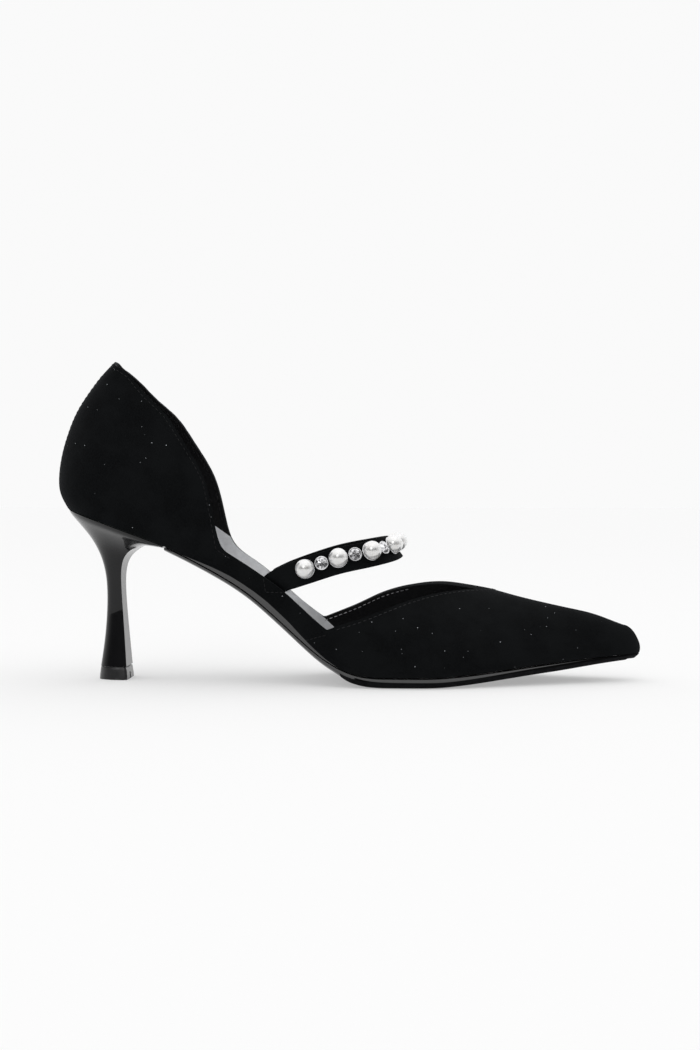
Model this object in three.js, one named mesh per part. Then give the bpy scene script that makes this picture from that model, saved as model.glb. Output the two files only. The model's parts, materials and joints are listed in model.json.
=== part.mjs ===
// A right shoe: a pointed pump with open sides, a studded instep strap and a slim flared heel.
// Millimetres. The toe points along +X, the little-toe side is -Y and +Z is up.
// The origin is on the floor, under the middle of the shoe's box.
import * as THREE from "three";
import { mergeVertices } from "three/addons/utils/BufferGeometryUtils.js";

// Driving dimensions
const SHOE_LENGTH = 249;
const BALL_WIDTH = 76;
const SEAT_HEIGHT = 73.4;
const LAST_HEIGHT = 77;
const TOE_SPRING = 7.4;
const WALL = 1.6;
const BELLY = 2.2;
const SOLE_THICKNESS = 4.4;
const WAIST_THICKNESS = 2.2;
const SOLE_EDGE = 0.42;
const SOLE_INSET = 0.3;
const SOLE_CHAMFER = 2.6;
const INSOLE_THICKNESS = 2.8;
const GAP = 0.3;
const HEEL_CAP = 28;
const TOE_CAP = 8;
const HEEL_TUCK = 0.5;
const LIFT_HEIGHT = 5.3;
const TIP_DEPTH = 13.3;
const TIP_WIDTH = 17.2;
const BREAST = 48.5;
const STRAP_WIDTH = 10.8;
const STRAP_THICKNESS = 1.8;
const STRAP_TUCK = 3.6;
const PEARL_DIAMETER = 7.9;
const STONE_DIAMETER = 5.8;
const STUD_PITCH = 7.0;
const STUDS_EACH_SIDE = 8;
const STUD_SHIFT = 0.8;

const FEATHER_AT_BALL = SOLE_THICKNESS + GAP;

// The bottom line of the last, seen from the side.
// along: share of the shoe's length. rise: share of the seat's height over the ball.
// spring: share of the toe spring.
const BOTTOM = [
  { along: 0.0, rise: 1.02, spring: 0 },
  { along: 0.016, rise: 1.0, spring: 0 },
  { along: 0.073, rise: 0.934, spring: 0 },
  { along: 0.144, rise: 0.841, spring: 0 },
  { along: 0.198, rise: 0.767, spring: 0 },
  { along: 0.247, rise: 0.678, spring: 0 },
  { along: 0.3, rise: 0.571, spring: 0 },
  { along: 0.337, rise: 0.483, spring: 0 },
  { along: 0.382, rise: 0.345, spring: 0 },
  { along: 0.428, rise: 0.198, spring: 0 },
  { along: 0.458, rise: 0.112, spring: 0 },
  { along: 0.484, rise: 0.055, spring: 0 },
  { along: 0.511, rise: 0.016, spring: 0 },
  { along: 0.538, rise: 0, spring: 0 },
  { along: 0.64, rise: 0, spring: 0 },
  { along: 0.694, rise: 0, spring: 0.1 },
  { along: 0.746, rise: 0, spring: 0.26 },
  { along: 0.827, rise: 0, spring: 0.55 },
  { along: 0.924, rise: 0, spring: 0.84 },
  { along: 1.0, rise: 0, spring: 1.0 },
];

// Sections of the last.
// along: share of the shoe's length. lateral, medial: half widths at the feather, shares of the ball width.
// tall: ridge over the feather, share of the last's height. lean: ridge's shift to the medial side,
// share of the ball width. swell: share of BELLY. shoulder: where the side turns in, share of the
// section's height. crown: length of the top's level part, share of the half width.
const SECTIONS = [
  { along: 0.1124, lateral: 0.342, medial: 0.342, tall: 1.06, lean: 0, swell: 1, shoulder: 0.45, crown: 0.3 },
  { along: 0.181, lateral: 0.342, medial: 0.33, tall: 1.09, lean: 0, swell: 1, shoulder: 0.45, crown: 0.46 },
  { along: 0.249, lateral: 0.324, medial: 0.292, tall: 1.03, lean: 0, swell: 0.9, shoulder: 0.45, crown: 0.62 },
  { along: 0.321, lateral: 0.311, medial: 0.26, tall: 0.916, lean: 0.01, swell: 0.7, shoulder: 0.44, crown: 0.68 },
  { along: 0.394, lateral: 0.336, medial: 0.266, tall: 0.838, lean: 0.02, swell: 0.6, shoulder: 0.43, crown: 0.66 },
  { along: 0.462, lateral: 0.408, medial: 0.332, tall: 0.79, lean: 0.035, swell: 0.8, shoulder: 0.4, crown: 0.6 },
  { along: 0.522, lateral: 0.468, medial: 0.415, tall: 0.71, lean: 0.045, swell: 1, shoulder: 0.38, crown: 0.55 },
  { along: 0.582, lateral: 0.497, medial: 0.464, tall: 0.63, lean: 0.05, swell: 1, shoulder: 0.36, crown: 0.5 },
  { along: 0.635, lateral: 0.497, medial: 0.478, tall: 0.547, lean: 0.05, swell: 1, shoulder: 0.36, crown: 0.48 },
  { along: 0.691, lateral: 0.455, medial: 0.452, tall: 0.48, lean: 0.045, swell: 0.9, shoulder: 0.36, crown: 0.46 },
  { along: 0.747, lateral: 0.384, medial: 0.388, tall: 0.416, lean: 0.035, swell: 0.8, shoulder: 0.37, crown: 0.46 },
  { along: 0.803, lateral: 0.31, medial: 0.316, tall: 0.347, lean: 0.025, swell: 0.7, shoulder: 0.39, crown: 0.47 },
  { along: 0.863, lateral: 0.232, medial: 0.237, tall: 0.284, lean: 0.012, swell: 0.6, shoulder: 0.42, crown: 0.5 },
  { along: 0.92, lateral: 0.16, medial: 0.162, tall: 0.228, lean: 0.004, swell: 0.5, shoulder: 0.45, crown: 0.54 },
  { along: 0.968, lateral: 0.1, medial: 0.1, tall: 0.17, lean: 0, swell: 0.4, shoulder: 0.48, crown: 0.56 },
];

// The heel's back seam, seen from the side. up: share of the ridge's height over the feather.
// reach: how far back it stands, share of the cap's depth.
const BACK_SEAM = [
  { up: 0, reach: 0.854 },
  { up: 0.019, reach: 0.9 },
  { up: 0.065, reach: 0.979 },
  { up: 0.105, reach: 0.999 },
  { up: 0.156, reach: 1.0 },
  { up: 0.274, reach: 0.964 },
  { up: 0.392, reach: 0.875 },
  { up: 0.527, reach: 0.736 },
  { up: 0.629, reach: 0.561 },
  { up: 0.738, reach: 0.343 },
  { up: 0.793, reach: 0.214 },
  { up: 0.828, reach: 0.114 },
  { up: 1, reach: 0 },
];

// The toe's front seam, a curve from the feather to the ridge by two handles, in the same shares.
// taper: how much narrower the tip gets towards its end.
const TOE_SEAM = { foot: 0.9, low: { reach: 1.08, up: 0.3 }, high: { reach: 0.62, up: 1.0 }, taper: 0.36 };

// The top line. at: share of the shoe's length. up: share of the section's own height.
// PEAK is the back seam's own height there, and SHOULDER the height where the heel's round end stops.
const PEAK = 0.848;
const SHOULDER = 0.821;
const TOPLINE = {
  lateral: [
    { at: 0.131, up: 0.798 },
    { at: 0.163, up: 0.712 },
    { at: 0.198, up: 0.655 },
    { at: 0.2245, up: 0.586 },
    { at: 0.2486, up: 0.524 },
    { at: 0.2655, up: 0.461 },
    { at: 0.2775, up: 0.31 },
    { at: 0.2875, up: 0.152 },
    { at: 0.322, up: 0.158 },
    { at: 0.359, up: 0.18 },
    { at: 0.397, up: 0.212 },
    { at: 0.434, up: 0.214 },
    { at: 0.468, up: 0.212 },
    { at: 0.488, up: 0.3 },
    { at: 0.52, up: 0.412 },
    { at: 0.5755, up: 0.575 },
    { at: 0.613, up: 0.7 },
    { at: 0.651, up: 0.82 },
    { at: 0.69, up: 0.905 },
    { at: 0.718, up: 0.958 },
  ],
  medial: [
    { at: 0.131, up: 0.787 },
    { at: 0.163, up: 0.706 },
    { at: 0.198, up: 0.655 },
    { at: 0.2245, up: 0.586 },
    { at: 0.2486, up: 0.524 },
    { at: 0.2655, up: 0.461 },
    { at: 0.2775, up: 0.31 },
    { at: 0.2875, up: 0.176 },
    { at: 0.308, up: 0.156 },
    { at: 0.359, up: 0.17 },
    { at: 0.397, up: 0.173 },
    { at: 0.43, up: 0.178 },
    { at: 0.452, up: 0.184 },
    { at: 0.468, up: 0.258 },
    { at: 0.496, up: 0.38 },
    { at: 0.54, up: 0.555 },
    { at: 0.583, up: 0.69 },
    { at: 0.613, up: 0.785 },
    { at: 0.643, up: 0.88 },
    { at: 0.673, up: 0.94 },
    { at: 0.712, up: 0.975 },
  ],
};
const THROAT = 0.746;

// The heel's slices. back, front: ends of the slice, each with x as a share of the breast and z as a share
// of the seat's height. half: share of half the seat's width. square: how boxy the slice is.
const HEEL = [
  { backX: 0.112, backZ: 0.971, frontX: 0.98, frontZ: 0.767, half: 0.975, square: 3 },
  { backX: 0.165, backZ: 0.932, frontX: 0.86, frontZ: 0.781, half: 0.86, square: 2.9 },
  { backX: 0.26, backZ: 0.858, frontX: 0.732, frontZ: 0.775, half: 0.66, square: 2.8 },
  { backX: 0.328, backZ: 0.789, frontX: 0.645, frontZ: 0.745, half: 0.47, square: 2.7 },
  { backX: 0.384, backZ: 0.706, frontX: 0.588, frontZ: 0.695, half: 0.335, square: 2.6 },
  { backX: 0.415, backZ: 0.62, frontX: 0.57, frontZ: 0.627, half: 0.27, square: 2.6 },
  { backX: 0.427, backZ: 0.545, frontX: 0.569, frontZ: 0.55, half: 0.236, square: 2.6 },
  { backX: 0.429, backZ: 0.42, frontX: 0.58, frontZ: 0.425, half: 0.224, square: 2.6 },
  { backX: 0.41, backZ: 0.24, frontX: 0.602, frontZ: 0.242, half: 0.265, square: 2.7 },
];
const TIP_CENTRE = 24.05;
const TIP_TAPER = 0.91;
const TIP_SQUARE = 2.8;
// How much of each upper slice keeps the seat's own outline
const SEAT_SHAPE = [0.7, 0.35, 0.1];

// Thickness of the outsole. along: share of the shoe's length. thick: 0 at the waist, 1 at the ball.
const SOLE = [
  { along: 0.2, thick: 0 },
  { along: 0.4, thick: 0.05 },
  { along: 0.47, thick: 0.5 },
  { along: 0.538, thick: 1 },
  { along: 0.64, thick: 1 },
  { along: 0.8, thick: 0.72 },
  { along: 1.0, thick: 0.55 },
];

// The strap's outer face, half of it, from its root in the band to its crown over the instep.
// at: share of the shoe's length. up: share of the crown's height. out: share of the half span.
// tilt: degrees that the strap's width leans back from upright. lean: degrees that it leans inwards.
const STRAP_CROWN = 57;
const STRAP_SPAN = { lateral: 29.6, medial: 27.4 };
const STRAP_ROOT = { at: 0.379, up: 0.74, tilt: 53 };
const STRAP = [
  { at: 0.404, up: 0.788, out: 0.93, tilt: 32, lean: 2 },
  { at: 0.433, up: 0.835, out: 1.0, tilt: 21, lean: 6 },
  { at: 0.485, up: 0.909, out: 0.985, tilt: 17, lean: 10 },
  { at: 0.539, up: 0.958, out: 0.84, tilt: 17, lean: 11 },
  { at: 0.5715, up: 0.989, out: 0.49, tilt: 28, lean: 8 },
  { at: 0.5805, up: 1.0, out: 0.0, tilt: 38, lean: 0 },
];

// How finely the curves are cut
const QUARTER_COLUMNS = 8;
const COLUMN_STEP = 4;
const TOE_COLUMNS = 6;
const WALL_ROWS = 11;
const PLATE_CAP_COLUMNS = 8;
const PLATE_STEP = 7;
const SLICE_POINTS = 28;
const STRAP_STEPS = 40;
const PEARL_SEGMENTS = 16;
const STONE_SEGMENTS = 8;

// Curves through a table's rows

// A curve through the rows that rises and falls only where they do.
function through(rows, key, value) {
  const xs = rows.map((row) => row[key]);
  const ys = rows.map((row) => row[value]);
  const last = xs.length - 1;
  const steps = xs.slice(1).map((x, i) => x - xs[i]);
  const slopes = steps.map((step, i) => (ys[i + 1] - ys[i]) / step);
  const tangents = xs.map((x, i) => {
    if (i === 0) return slopes[0];
    if (i === last) return slopes[last - 1];
    if (slopes[i - 1] * slopes[i] <= 0) return 0;
    const before = 2 * steps[i] + steps[i - 1];
    const after = steps[i] + 2 * steps[i - 1];
    return (before + after) / (before / slopes[i - 1] + after / slopes[i]);
  });
  return (x) => {
    if (x <= xs[0]) return ys[0];
    if (x >= xs[last]) return ys[last];
    const i = xs.findIndex((right) => right > x) - 1;
    const t = (x - xs[i]) / steps[i];
    const h = 1 - t;
    const near = h * h * (1 + 2 * t) * ys[i] + h * h * t * steps[i] * tangents[i];
    const far = t * t * (1 + 2 * h) * ys[i + 1] - t * t * h * steps[i] * tangents[i + 1];
    return near + far;
  };
}

const mix = (a, b, t) => a + (b - a) * t;
const bezier = (a, b, c, d, t) => {
  const h = 1 - t;
  return h * h * h * a + 3 * h * h * t * b + 3 * h * t * t * c + t * t * t * d;
};

// The last

const rise = through(BOTTOM, "along", "rise");
const spring = through(BOTTOM, "along", "spring");

function featherZ(x) {
  const along = x / SHOE_LENGTH;
  return FEATHER_AT_BALL + rise(along) * (SEAT_HEIGHT - FEATHER_AT_BALL) + spring(along) * TOE_SPRING;
}

function featherSlope(x) {
  const step = 0.5;
  return (featherZ(x + step) - featherZ(x - step)) / (2 * step);
}

// Thickness measured square to the bottom line, turned to an upright distance.
const upright = (x, thickness) => thickness * Math.hypot(1, featherSlope(x));

const sectionCurve = Object.fromEntries(
  ["lateral", "medial", "tall", "lean", "swell", "shoulder", "crown"].map((name) => [
    name,
    through(SECTIONS, "along", name),
  ]),
);

const TOE_START = SHOE_LENGTH - TOE_CAP;

// One side of a section: share s from the feather, 0, to the ridge, 1. side is -1 lateral or +1 medial.
function sectionAt(x, side) {
  const along = x / SHOE_LENGTH;
  const half = sectionCurve[side < 0 ? "lateral" : "medial"](along) * BALL_WIDTH;
  const tall = sectionCurve.tall(along) * LAST_HEIGHT;
  const ridge = sectionCurve.lean(along) * BALL_WIDTH;
  const swell = sectionCurve.swell(along) * BELLY;
  const shoulder = sectionCurve.shoulder(along) * tall;
  const crown = sectionCurve.crown(along) * half;
  return {
    half,
    tall,
    y: (s) => bezier(side * half, side * (half + swell), ridge + side * crown, ridge, s),
    z: (s) => bezier(0, shoulder, tall, tall, s),
  };
}

const backReach = through(BACK_SEAM, "up", "reach");

// The rounded ends: half an ellipse around the cap's centre, its depth from the end seam's own curve.
function heelPoint(side, angle, s) {
  const section = sectionAt(HEEL_CAP, side);
  const up = section.z(s) / section.tall;
  const depth = HEEL_CAP * Math.cos(angle);
  return new THREE.Vector3(
    HEEL_CAP - backReach(up) * depth,
    section.y(s) * Math.sin(angle),
    featherZ(HEEL_CAP - depth * backReach(0) * (1 - s)) + section.z(s),
  );
}

function toePoint(side, angle, s) {
  const section = sectionAt(TOE_START, side);
  const { foot, low, high, taper } = TOE_SEAM;
  const depth = TOE_CAP * Math.cos(angle);
  const reach = bezier(foot, low.reach, high.reach, 0, s);
  const seamZ = bezier(0, low.up, high.up, 1, s) * section.tall;
  return new THREE.Vector3(
    TOE_START + reach * depth,
    section.y(s) * Math.sin(angle) * (1 - taper * Math.cos(angle)),
    featherZ(TOE_START + depth * foot * (1 - s)) + mix(section.z(s), seamZ, Math.cos(angle) ** 2),
  );
}

// Distance round the shoe from the back seam, 0, along one side to the toe's front seam.
const HEEL_ARC = HEEL_CAP * 1.5;
const TOE_ARC = TOE_CAP * 1.5;
const SIDE_RUN = TOE_START - HEEL_CAP;
const ROUND = HEEL_ARC + SIDE_RUN + TOE_ARC;

// The last's surface. q is the signed distance round the shoe, s the share of the way up.
function lastSurface(q, s) {
  const side = q < 0 ? -1 : 1;
  const run = Math.abs(q);
  if (run < HEEL_ARC) {
    return heelPoint(side, (run / HEEL_ARC) * (Math.PI / 2), s);
  }
  if (run <= HEEL_ARC + SIDE_RUN) {
    const x = HEEL_CAP + run - HEEL_ARC;
    const section = sectionAt(x, side);
    return new THREE.Vector3(x, section.y(s), featherZ(x) + section.z(s));
  }
  return toePoint(side, ((ROUND - run) / TOE_ARC) * (Math.PI / 2), s);
}

// The ridge's own downward direction, the same from both sides.
function ridgeInward(x) {
  const step = 0.5;
  const ridgeZ = (at) => featherZ(at) + sectionAt(at, 1).tall;
  const slope = (ridgeZ(x) - ridgeZ(x - step)) / step;
  return new THREE.Vector3(slope, 0, -1).normalize();
}

// The wall's inward direction at a point of the last.
function inward(q, s) {
  if (s === 1) return ridgeInward(lastSurface(q, 1).x);
  const dq = 0.4;
  const ds = 0.004;
  const wrap = (value) => {
    if (value > ROUND) return value - 2 * ROUND;
    if (value < -ROUND) return value + 2 * ROUND;
    return value;
  };
  const low = Math.max(0, s - ds);
  const high = Math.min(1 - 1e-6, s + ds);
  const along = lastSurface(wrap(q + dq), s).sub(lastSurface(wrap(q - dq), s));
  const up = lastSurface(q, high).sub(lastSurface(q, low));
  const normal = along.cross(up).normalize();
  if (s === 0) normal.setZ(0).normalize();
  return normal;
}

// Meshes

function meshOf(name, positions, triangles, material) {
  const geometry = new THREE.BufferGeometry();
  geometry.setAttribute("position", new THREE.Float32BufferAttribute(positions.flatMap((p) => [p.x, p.y, p.z]), 3));
  geometry.setIndex(triangles.flat());
  const merged = mergeVertices(geometry, 1e-3);
  const index = merged.getIndex().array;
  const kept = [];
  for (let i = 0; i < index.length; i += 3) {
    const [a, b, c] = [index[i], index[i + 1], index[i + 2]];
    if (a !== b && b !== c && c !== a) kept.push(a, b, c);
  }
  merged.setIndex(kept);
  merged.computeVertexNormals();
  const mesh = new THREE.Mesh(merged, material);
  mesh.name = name;
  return mesh;
}

// Closed rings of equal count joined in order, with a fan over each end.
function loft(name, rings, material) {
  const positions = rings.flat();
  const count = rings[0].length;
  const triangles = [];
  for (let i = 0; i + 1 < rings.length; i += 1) {
    for (let j = 0; j < count; j += 1) {
      const a = i * count + j;
      const b = i * count + ((j + 1) % count);
      triangles.push([a, b, b + count], [a, b + count, a + count]);
    }
  }
  const cap = (start, flip) => {
    for (let j = 1; j + 1 < count; j += 1) {
      triangles.push(flip ? [start, start + j + 1, start + j] : [start, start + j, start + j + 1]);
    }
  };
  cap(0, true);
  cap((rings.length - 1) * count, false);
  return meshOf(name, positions, triangles, material);
}

const suede = new THREE.MeshStandardMaterial({ color: 0x0b0b0d, roughness: 0.95, metalness: 0 });
const metallicLeather = new THREE.MeshStandardMaterial({ color: 0x8d8f93, roughness: 0.42, metalness: 0.6 });
const soleRubber = new THREE.MeshStandardMaterial({ color: 0x15161a, roughness: 0.35, metalness: 0 });
const glossBlack = new THREE.MeshStandardMaterial({ color: 0x08090b, roughness: 0.12, metalness: 0 });
const pearl = new THREE.MeshStandardMaterial({ color: 0xe9e6e2, roughness: 0.2, metalness: 0.1 });
const crystal = new THREE.MeshStandardMaterial({ color: 0xc9cdd2, roughness: 0.08, metalness: 0.5 });

// Upper

const throatRow = { at: THROAT, up: 1 };
const topUp = {
  lateral: through([...TOPLINE.lateral, throatRow], "at", "up"),
  medial: through([...TOPLINE.medial, throatRow], "at", "up"),
};

// The share s at which the last reaches a share of its own height, at a distance q round the shoe.
function shareAtHeight(q, up) {
  const foot = lastSurface(q, 0).z;
  const target = foot + up * (lastSurface(q, 1).z - foot);
  let low = 0;
  let high = 1;
  for (let i = 0; i < 30; i += 1) {
    const middle = (low + high) / 2;
    if (lastSurface(q, middle).z < target) low = middle;
    else high = middle;
  }
  return (low + high) / 2;
}

const roundAt = (x) => HEEL_ARC + x - HEEL_CAP;

// Columns round one side up to the throat: the distance round the shoe, and the share at the top line.
function columnsOf(side) {
  const name = side < 0 ? "lateral" : "medial";
  const rows = TOPLINE[name];
  const columns = [];
  for (let i = 0; i < QUARTER_COLUMNS; i += 1) {
    const turn = i / QUARTER_COLUMNS;
    const q = turn * HEEL_ARC;
    const up = mix(PEAK, SHOULDER, turn * turn * (3 - 2 * turn));
    columns.push({ q, s: shareAtHeight(q, up) });
  }
  const heelEnd = { at: HEEL_CAP / SHOE_LENGTH, up: SHOULDER };
  const stops = [heelEnd, ...rows];
  stops.forEach((row, i) => {
    const next = stops[i + 1] || { at: THROAT };
    const pieces = Math.max(1, Math.round(((next.at - row.at) * SHOE_LENGTH) / COLUMN_STEP));
    for (let k = 0; k < pieces; k += 1) {
      const at = mix(row.at, next.at, k / pieces);
      const up = k === 0 ? row.up : topUp[name](at);
      const q = roundAt(at * SHOE_LENGTH);
      columns.push({ q, s: shareAtHeight(side * q, up) });
    }
  });
  return columns;
}

// Both sides share these columns, from the throat to the toe, so that they meet along the ridge.
function vampColumns() {
  const start = THROAT * SHOE_LENGTH;
  const count = 9;
  const columns = [];
  for (let i = 0; i < count; i += 1) {
    const x = mix(start, TOE_START, i / count);
    columns.push({ q: roundAt(x), s: 1 });
  }
  for (let i = 0; i <= TOE_COLUMNS; i += 1) {
    const q = ROUND - TOE_ARC * (1 - i / TOE_COLUMNS);
    columns.push({ q, s: 1 });
  }
  return columns;
}

function makeUpper() {
  const lateral = [...columnsOf(-1), ...vampColumns()].map((c) => ({ ...c, side: -1 }));
  const medial = [...columnsOf(1), ...vampColumns()].map((c) => ({ ...c, side: 1 }));
  const columns = [...lateral.slice(1).reverse(), ...medial.slice(0, -1)];
  const positions = [];
  const triangles = [];
  const rows = WALL_ROWS + 1;
  for (const column of columns) {
    for (const layer of [0, WALL]) {
      for (let i = 0; i < rows; i += 1) {
        const v = i / WALL_ROWS;
        const s = v * column.s;
        const q = column.side * column.q;
        const point = lastSurface(q, s);
        if (layer) point.addScaledVector(inward(q, s), layer);
        positions.push(point);
      }
    }
  }
  const count = columns.length;
  columns.forEach((column, i) => {
    const next = columns[(i + 1) % count];
    const a = i * rows * 2;
    const b = ((i + 1) % count) * rows * 2;
    const quad = (p, q, r, t) => triangles.push([p, r, q], [p, t, r]);
    for (let k = 0; k < WALL_ROWS; k += 1) {
      quad(a + k, b + k, b + k + 1, a + k + 1);
      quad(a + rows + k + 1, b + rows + k + 1, b + rows + k, a + rows + k);
    }
    quad(a + rows, b + rows, b, a);
    const open = column.s < 1 || next.s < 1;
    if (open) quad(a + WALL_ROWS, b + WALL_ROWS, b + rows + WALL_ROWS, a + rows + WALL_ROWS);
  });
  return meshOf("upper", positions, triangles, suede);
}

// Insole and outsole

// A point of the feather line moved inwards, at its own height on the bottom line.
function featherPoint(q, inset) {
  const point = lastSurface(q, 0).addScaledVector(inward(q, 0), inset);
  return point.setZ(featherZ(point.x));
}

// Distances round the shoe from a start to the toe, closer together in the rounded ends.
function plateStops(start) {
  const stops = [];
  const toe = HEEL_ARC + SIDE_RUN;
  const first = Math.max(start, HEEL_ARC);
  for (let i = 0; start < HEEL_ARC && i < PLATE_CAP_COLUMNS; i += 1) {
    stops.push(mix(start, HEEL_ARC, i / PLATE_CAP_COLUMNS));
  }
  const steps = Math.round((toe - first) / PLATE_STEP);
  for (let i = 0; i < steps; i += 1) stops.push(mix(first, toe, i / steps));
  for (let i = 0; i <= PLATE_CAP_COLUMNS; i += 1) {
    stops.push(ROUND - TOE_ARC * (1 - i / PLATE_CAP_COLUMNS));
  }
  return stops;
}

function makeInsole() {
  const rings = plateStops(0).map((q) => {
    const edge = [-q, q].map((signed) => featherPoint(signed, WALL + GAP));
    const top = edge.map((p) => p.clone().setZ(p.z + upright(p.x, INSOLE_THICKNESS)));
    return [edge[0], edge[1], top[1], top[0]];
  });
  return loft("insole", rings, metallicLeather);
}

const soleThick = through(SOLE, "along", "thick");

function makeOutsole() {
  const rings = plateStops(roundAt(BREAST + GAP)).map((q) => {
    const ring = [-q, q].map((signed) => {
      const thickness = (x) => mix(WAIST_THICKNESS, SOLE_THICKNESS, soleThick(x / SHOE_LENGTH));
      const down = (point, drop) => point.setZ(point.z - upright(point.x, GAP + drop));
      const top = featherPoint(signed, SOLE_INSET);
      const edge = thickness(top.x) * SOLE_EDGE;
      const foot = featherPoint(signed, SOLE_CHAMFER);
      return [down(top.clone(), 0), down(top, edge), down(foot, thickness(foot.x))];
    });
    return [...ring[0], ...ring[1].reverse()];
  });
  return loft("outsole", rings, soleRubber);
}

// Heel and top lift

const seatFront = roundAt(BREAST);

// The seat's outline at a share u of the way round, -1 and 1 at the breast and 0 at the back.
function seatPoint(u) {
  const q = Math.sign(u || 1) * Math.abs(u) * seatFront;
  const point = featherPoint(q, HEEL_TUCK);
  return point.setZ(point.z - upright(point.x, GAP));
}

const seatBack = seatPoint(0);
const seatHalf = Math.abs(seatPoint(1).y);

// A slice of the heel: a flat breast and a round back between the slice's two ends.
function heelSlice(back, front, half, square, seatShape) {
  const ring = [];
  for (let i = 0; i <= SLICE_POINTS; i += 1) {
    const u = -1 + (2 * i) / SLICE_POINTS;
    const angle = Math.abs(u) * (Math.PI / 2);
    const seat = seatPoint(u);
    const along = mix(
      1 - Math.cos(angle) ** (2 / square),
      (seat.x - seatBack.x) / (BREAST - seatBack.x),
      seatShape,
    );
    const across = mix(Math.sin(angle) ** (2 / square), Math.abs(seat.y) / seatHalf, seatShape);
    const y = Math.sign(u) * half * across;
    ring.push(new THREE.Vector3(mix(back.x, front.x, along), y, mix(back.z, front.z, along)));
  }
  return ring;
}

function tipSlice(z, scale) {
  const half = (TIP_DEPTH * scale) / 2;
  const back = { x: TIP_CENTRE - half, z };
  const front = { x: TIP_CENTRE + half, z };
  return heelSlice(back, front, (TIP_WIDTH * scale) / 2, TIP_SQUARE, 0);
}

function makeHeel() {
  const seat = [];
  for (let i = 0; i <= SLICE_POINTS; i += 1) seat.push(seatPoint(-1 + (2 * i) / SLICE_POINTS));
  const slices = HEEL.map((row, i) => {
    const back = { x: row.backX * BREAST, z: row.backZ * SEAT_HEIGHT };
    const front = { x: row.frontX * BREAST, z: row.frontZ * SEAT_HEIGHT };
    return heelSlice(back, front, row.half * seatHalf, row.square, SEAT_SHAPE[i] || 0);
  });
  return loft("heel", [seat, ...slices, tipSlice(LIFT_HEIGHT + GAP, TIP_TAPER)], glossBlack);
}

const makeTopLift = () => loft("top_lift", [tipSlice(LIFT_HEIGHT, TIP_TAPER), tipSlice(0, 1)], soleRubber);

// Strap

// A point inside the band's wall, clear of it, at a place along the shoe and a height.
function insideBand(side, x, z) {
  const q = side * roundAt(x);
  const tall = sectionAt(x, side).tall;
  const s = shareAtHeight(q, (z - featherZ(x)) / tall);
  return lastSurface(q, s).addScaledVector(inward(q, s), WALL + GAP);
}

// The strap's width as three points, from its back edge to its front edge.
function rootLine(side, lowered) {
  const lean = THREE.MathUtils.degToRad(STRAP_ROOT.tilt);
  const x = STRAP_ROOT.at * SHOE_LENGTH - Math.cos(lean) * lowered;
  const z = STRAP_ROOT.up * STRAP_CROWN - Math.sin(lean) * lowered;
  return [1, 0, -1].map((share) => {
    const reach = (share * STRAP_WIDTH) / 2;
    return insideBand(side, x - Math.sin(lean) * reach, z + Math.cos(lean) * reach);
  });
}

function freeLine(side, row) {
  const tilt = THREE.MathUtils.degToRad(row.tilt);
  const lean = THREE.MathUtils.degToRad(row.lean);
  const span = side < 0 ? STRAP_SPAN.lateral : STRAP_SPAN.medial;
  return [1, 0, -1].map((share) => {
    const reach = (share * STRAP_WIDTH) / 2;
    return new THREE.Vector3(
      row.at * SHOE_LENGTH - Math.sin(tilt) * reach,
      side * (row.out * span - Math.sin(lean) * reach),
      row.up * STRAP_CROWN + Math.cos(tilt) * Math.cos(lean) * reach,
    );
  });
}

const strapLines = [
  rootLine(-1, 0),
  ...STRAP.map((row) => freeLine(-1, row)),
  ...STRAP.slice(0, -1).reverse().map((row) => freeLine(1, row)),
  rootLine(1, 0),
];
const strapCurves = [0, 1, 2].map(
  (i) => new THREE.CatmullRomCurve3(strapLines.map((line) => line[i]), false, "centripetal"),
);

// The strap's line and outward direction at a share t of the whole strap.
function strapAt(t) {
  const line = strapCurves.map((curve) => curve.getPoint(t));
  const across = line[0].clone().sub(line[2]).normalize();
  const outward = strapCurves[1].getTangent(t).cross(across).normalize();
  return { line, outward };
}

function strapRing(line, outward) {
  const inner = line.map((p) => p.clone().addScaledVector(outward, -STRAP_THICKNESS));
  return [...line, ...inner.reverse()];
}

function makeStrap() {
  const rings = [];
  const ends = [strapAt(0), strapAt(1)];
  rings.push(strapRing(rootLine(-1, STRAP_TUCK), ends[0].outward));
  for (let i = 0; i <= STRAP_STEPS; i += 1) {
    const { line, outward } = strapAt(i / STRAP_STEPS);
    rings.push(strapRing(line, outward));
  }
  rings.push(strapRing(rootLine(1, STRAP_TUCK), ends[1].outward));
  return loft("strap", rings, suede);
}

// Studs

function studMesh(name, profile, segments, material, t) {
  const geometry = new THREE.LatheGeometry(profile.map(([r, z]) => new THREE.Vector2(r, z)), segments);
  const { line, outward } = strapAt(t);
  const across = line[0].clone().sub(line[2]).normalize();
  const place = line[1].clone().addScaledVector(outward, GAP).addScaledVector(across, STUD_SHIFT);
  const turn = new THREE.Quaternion().setFromUnitVectors(new THREE.Vector3(0, 1, 0), outward);
  geometry.applyQuaternion(turn);
  geometry.translate(place.x, place.y, place.z);
  const points = geometry.getAttribute("position");
  const positions = [];
  for (let i = 0; i < points.count; i += 1) positions.push(new THREE.Vector3().fromBufferAttribute(points, i));
  const index = Array.from(geometry.getIndex().array);
  return meshOf(name, positions, index, material);
}

function pearlProfile() {
  const radius = PEARL_DIAMETER / 2;
  const centre = radius * 0.42;
  const profile = [[0, 0], [radius * 0.86, 0], [radius * 0.96, radius * 0.16]];
  for (let i = 0; i <= 6; i += 1) {
    const angle = (i / 6) * (Math.PI / 2);
    profile.push([i === 6 ? 0 : radius * Math.cos(angle), centre + radius * Math.sin(angle)]);
  }
  return profile;
}

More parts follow.
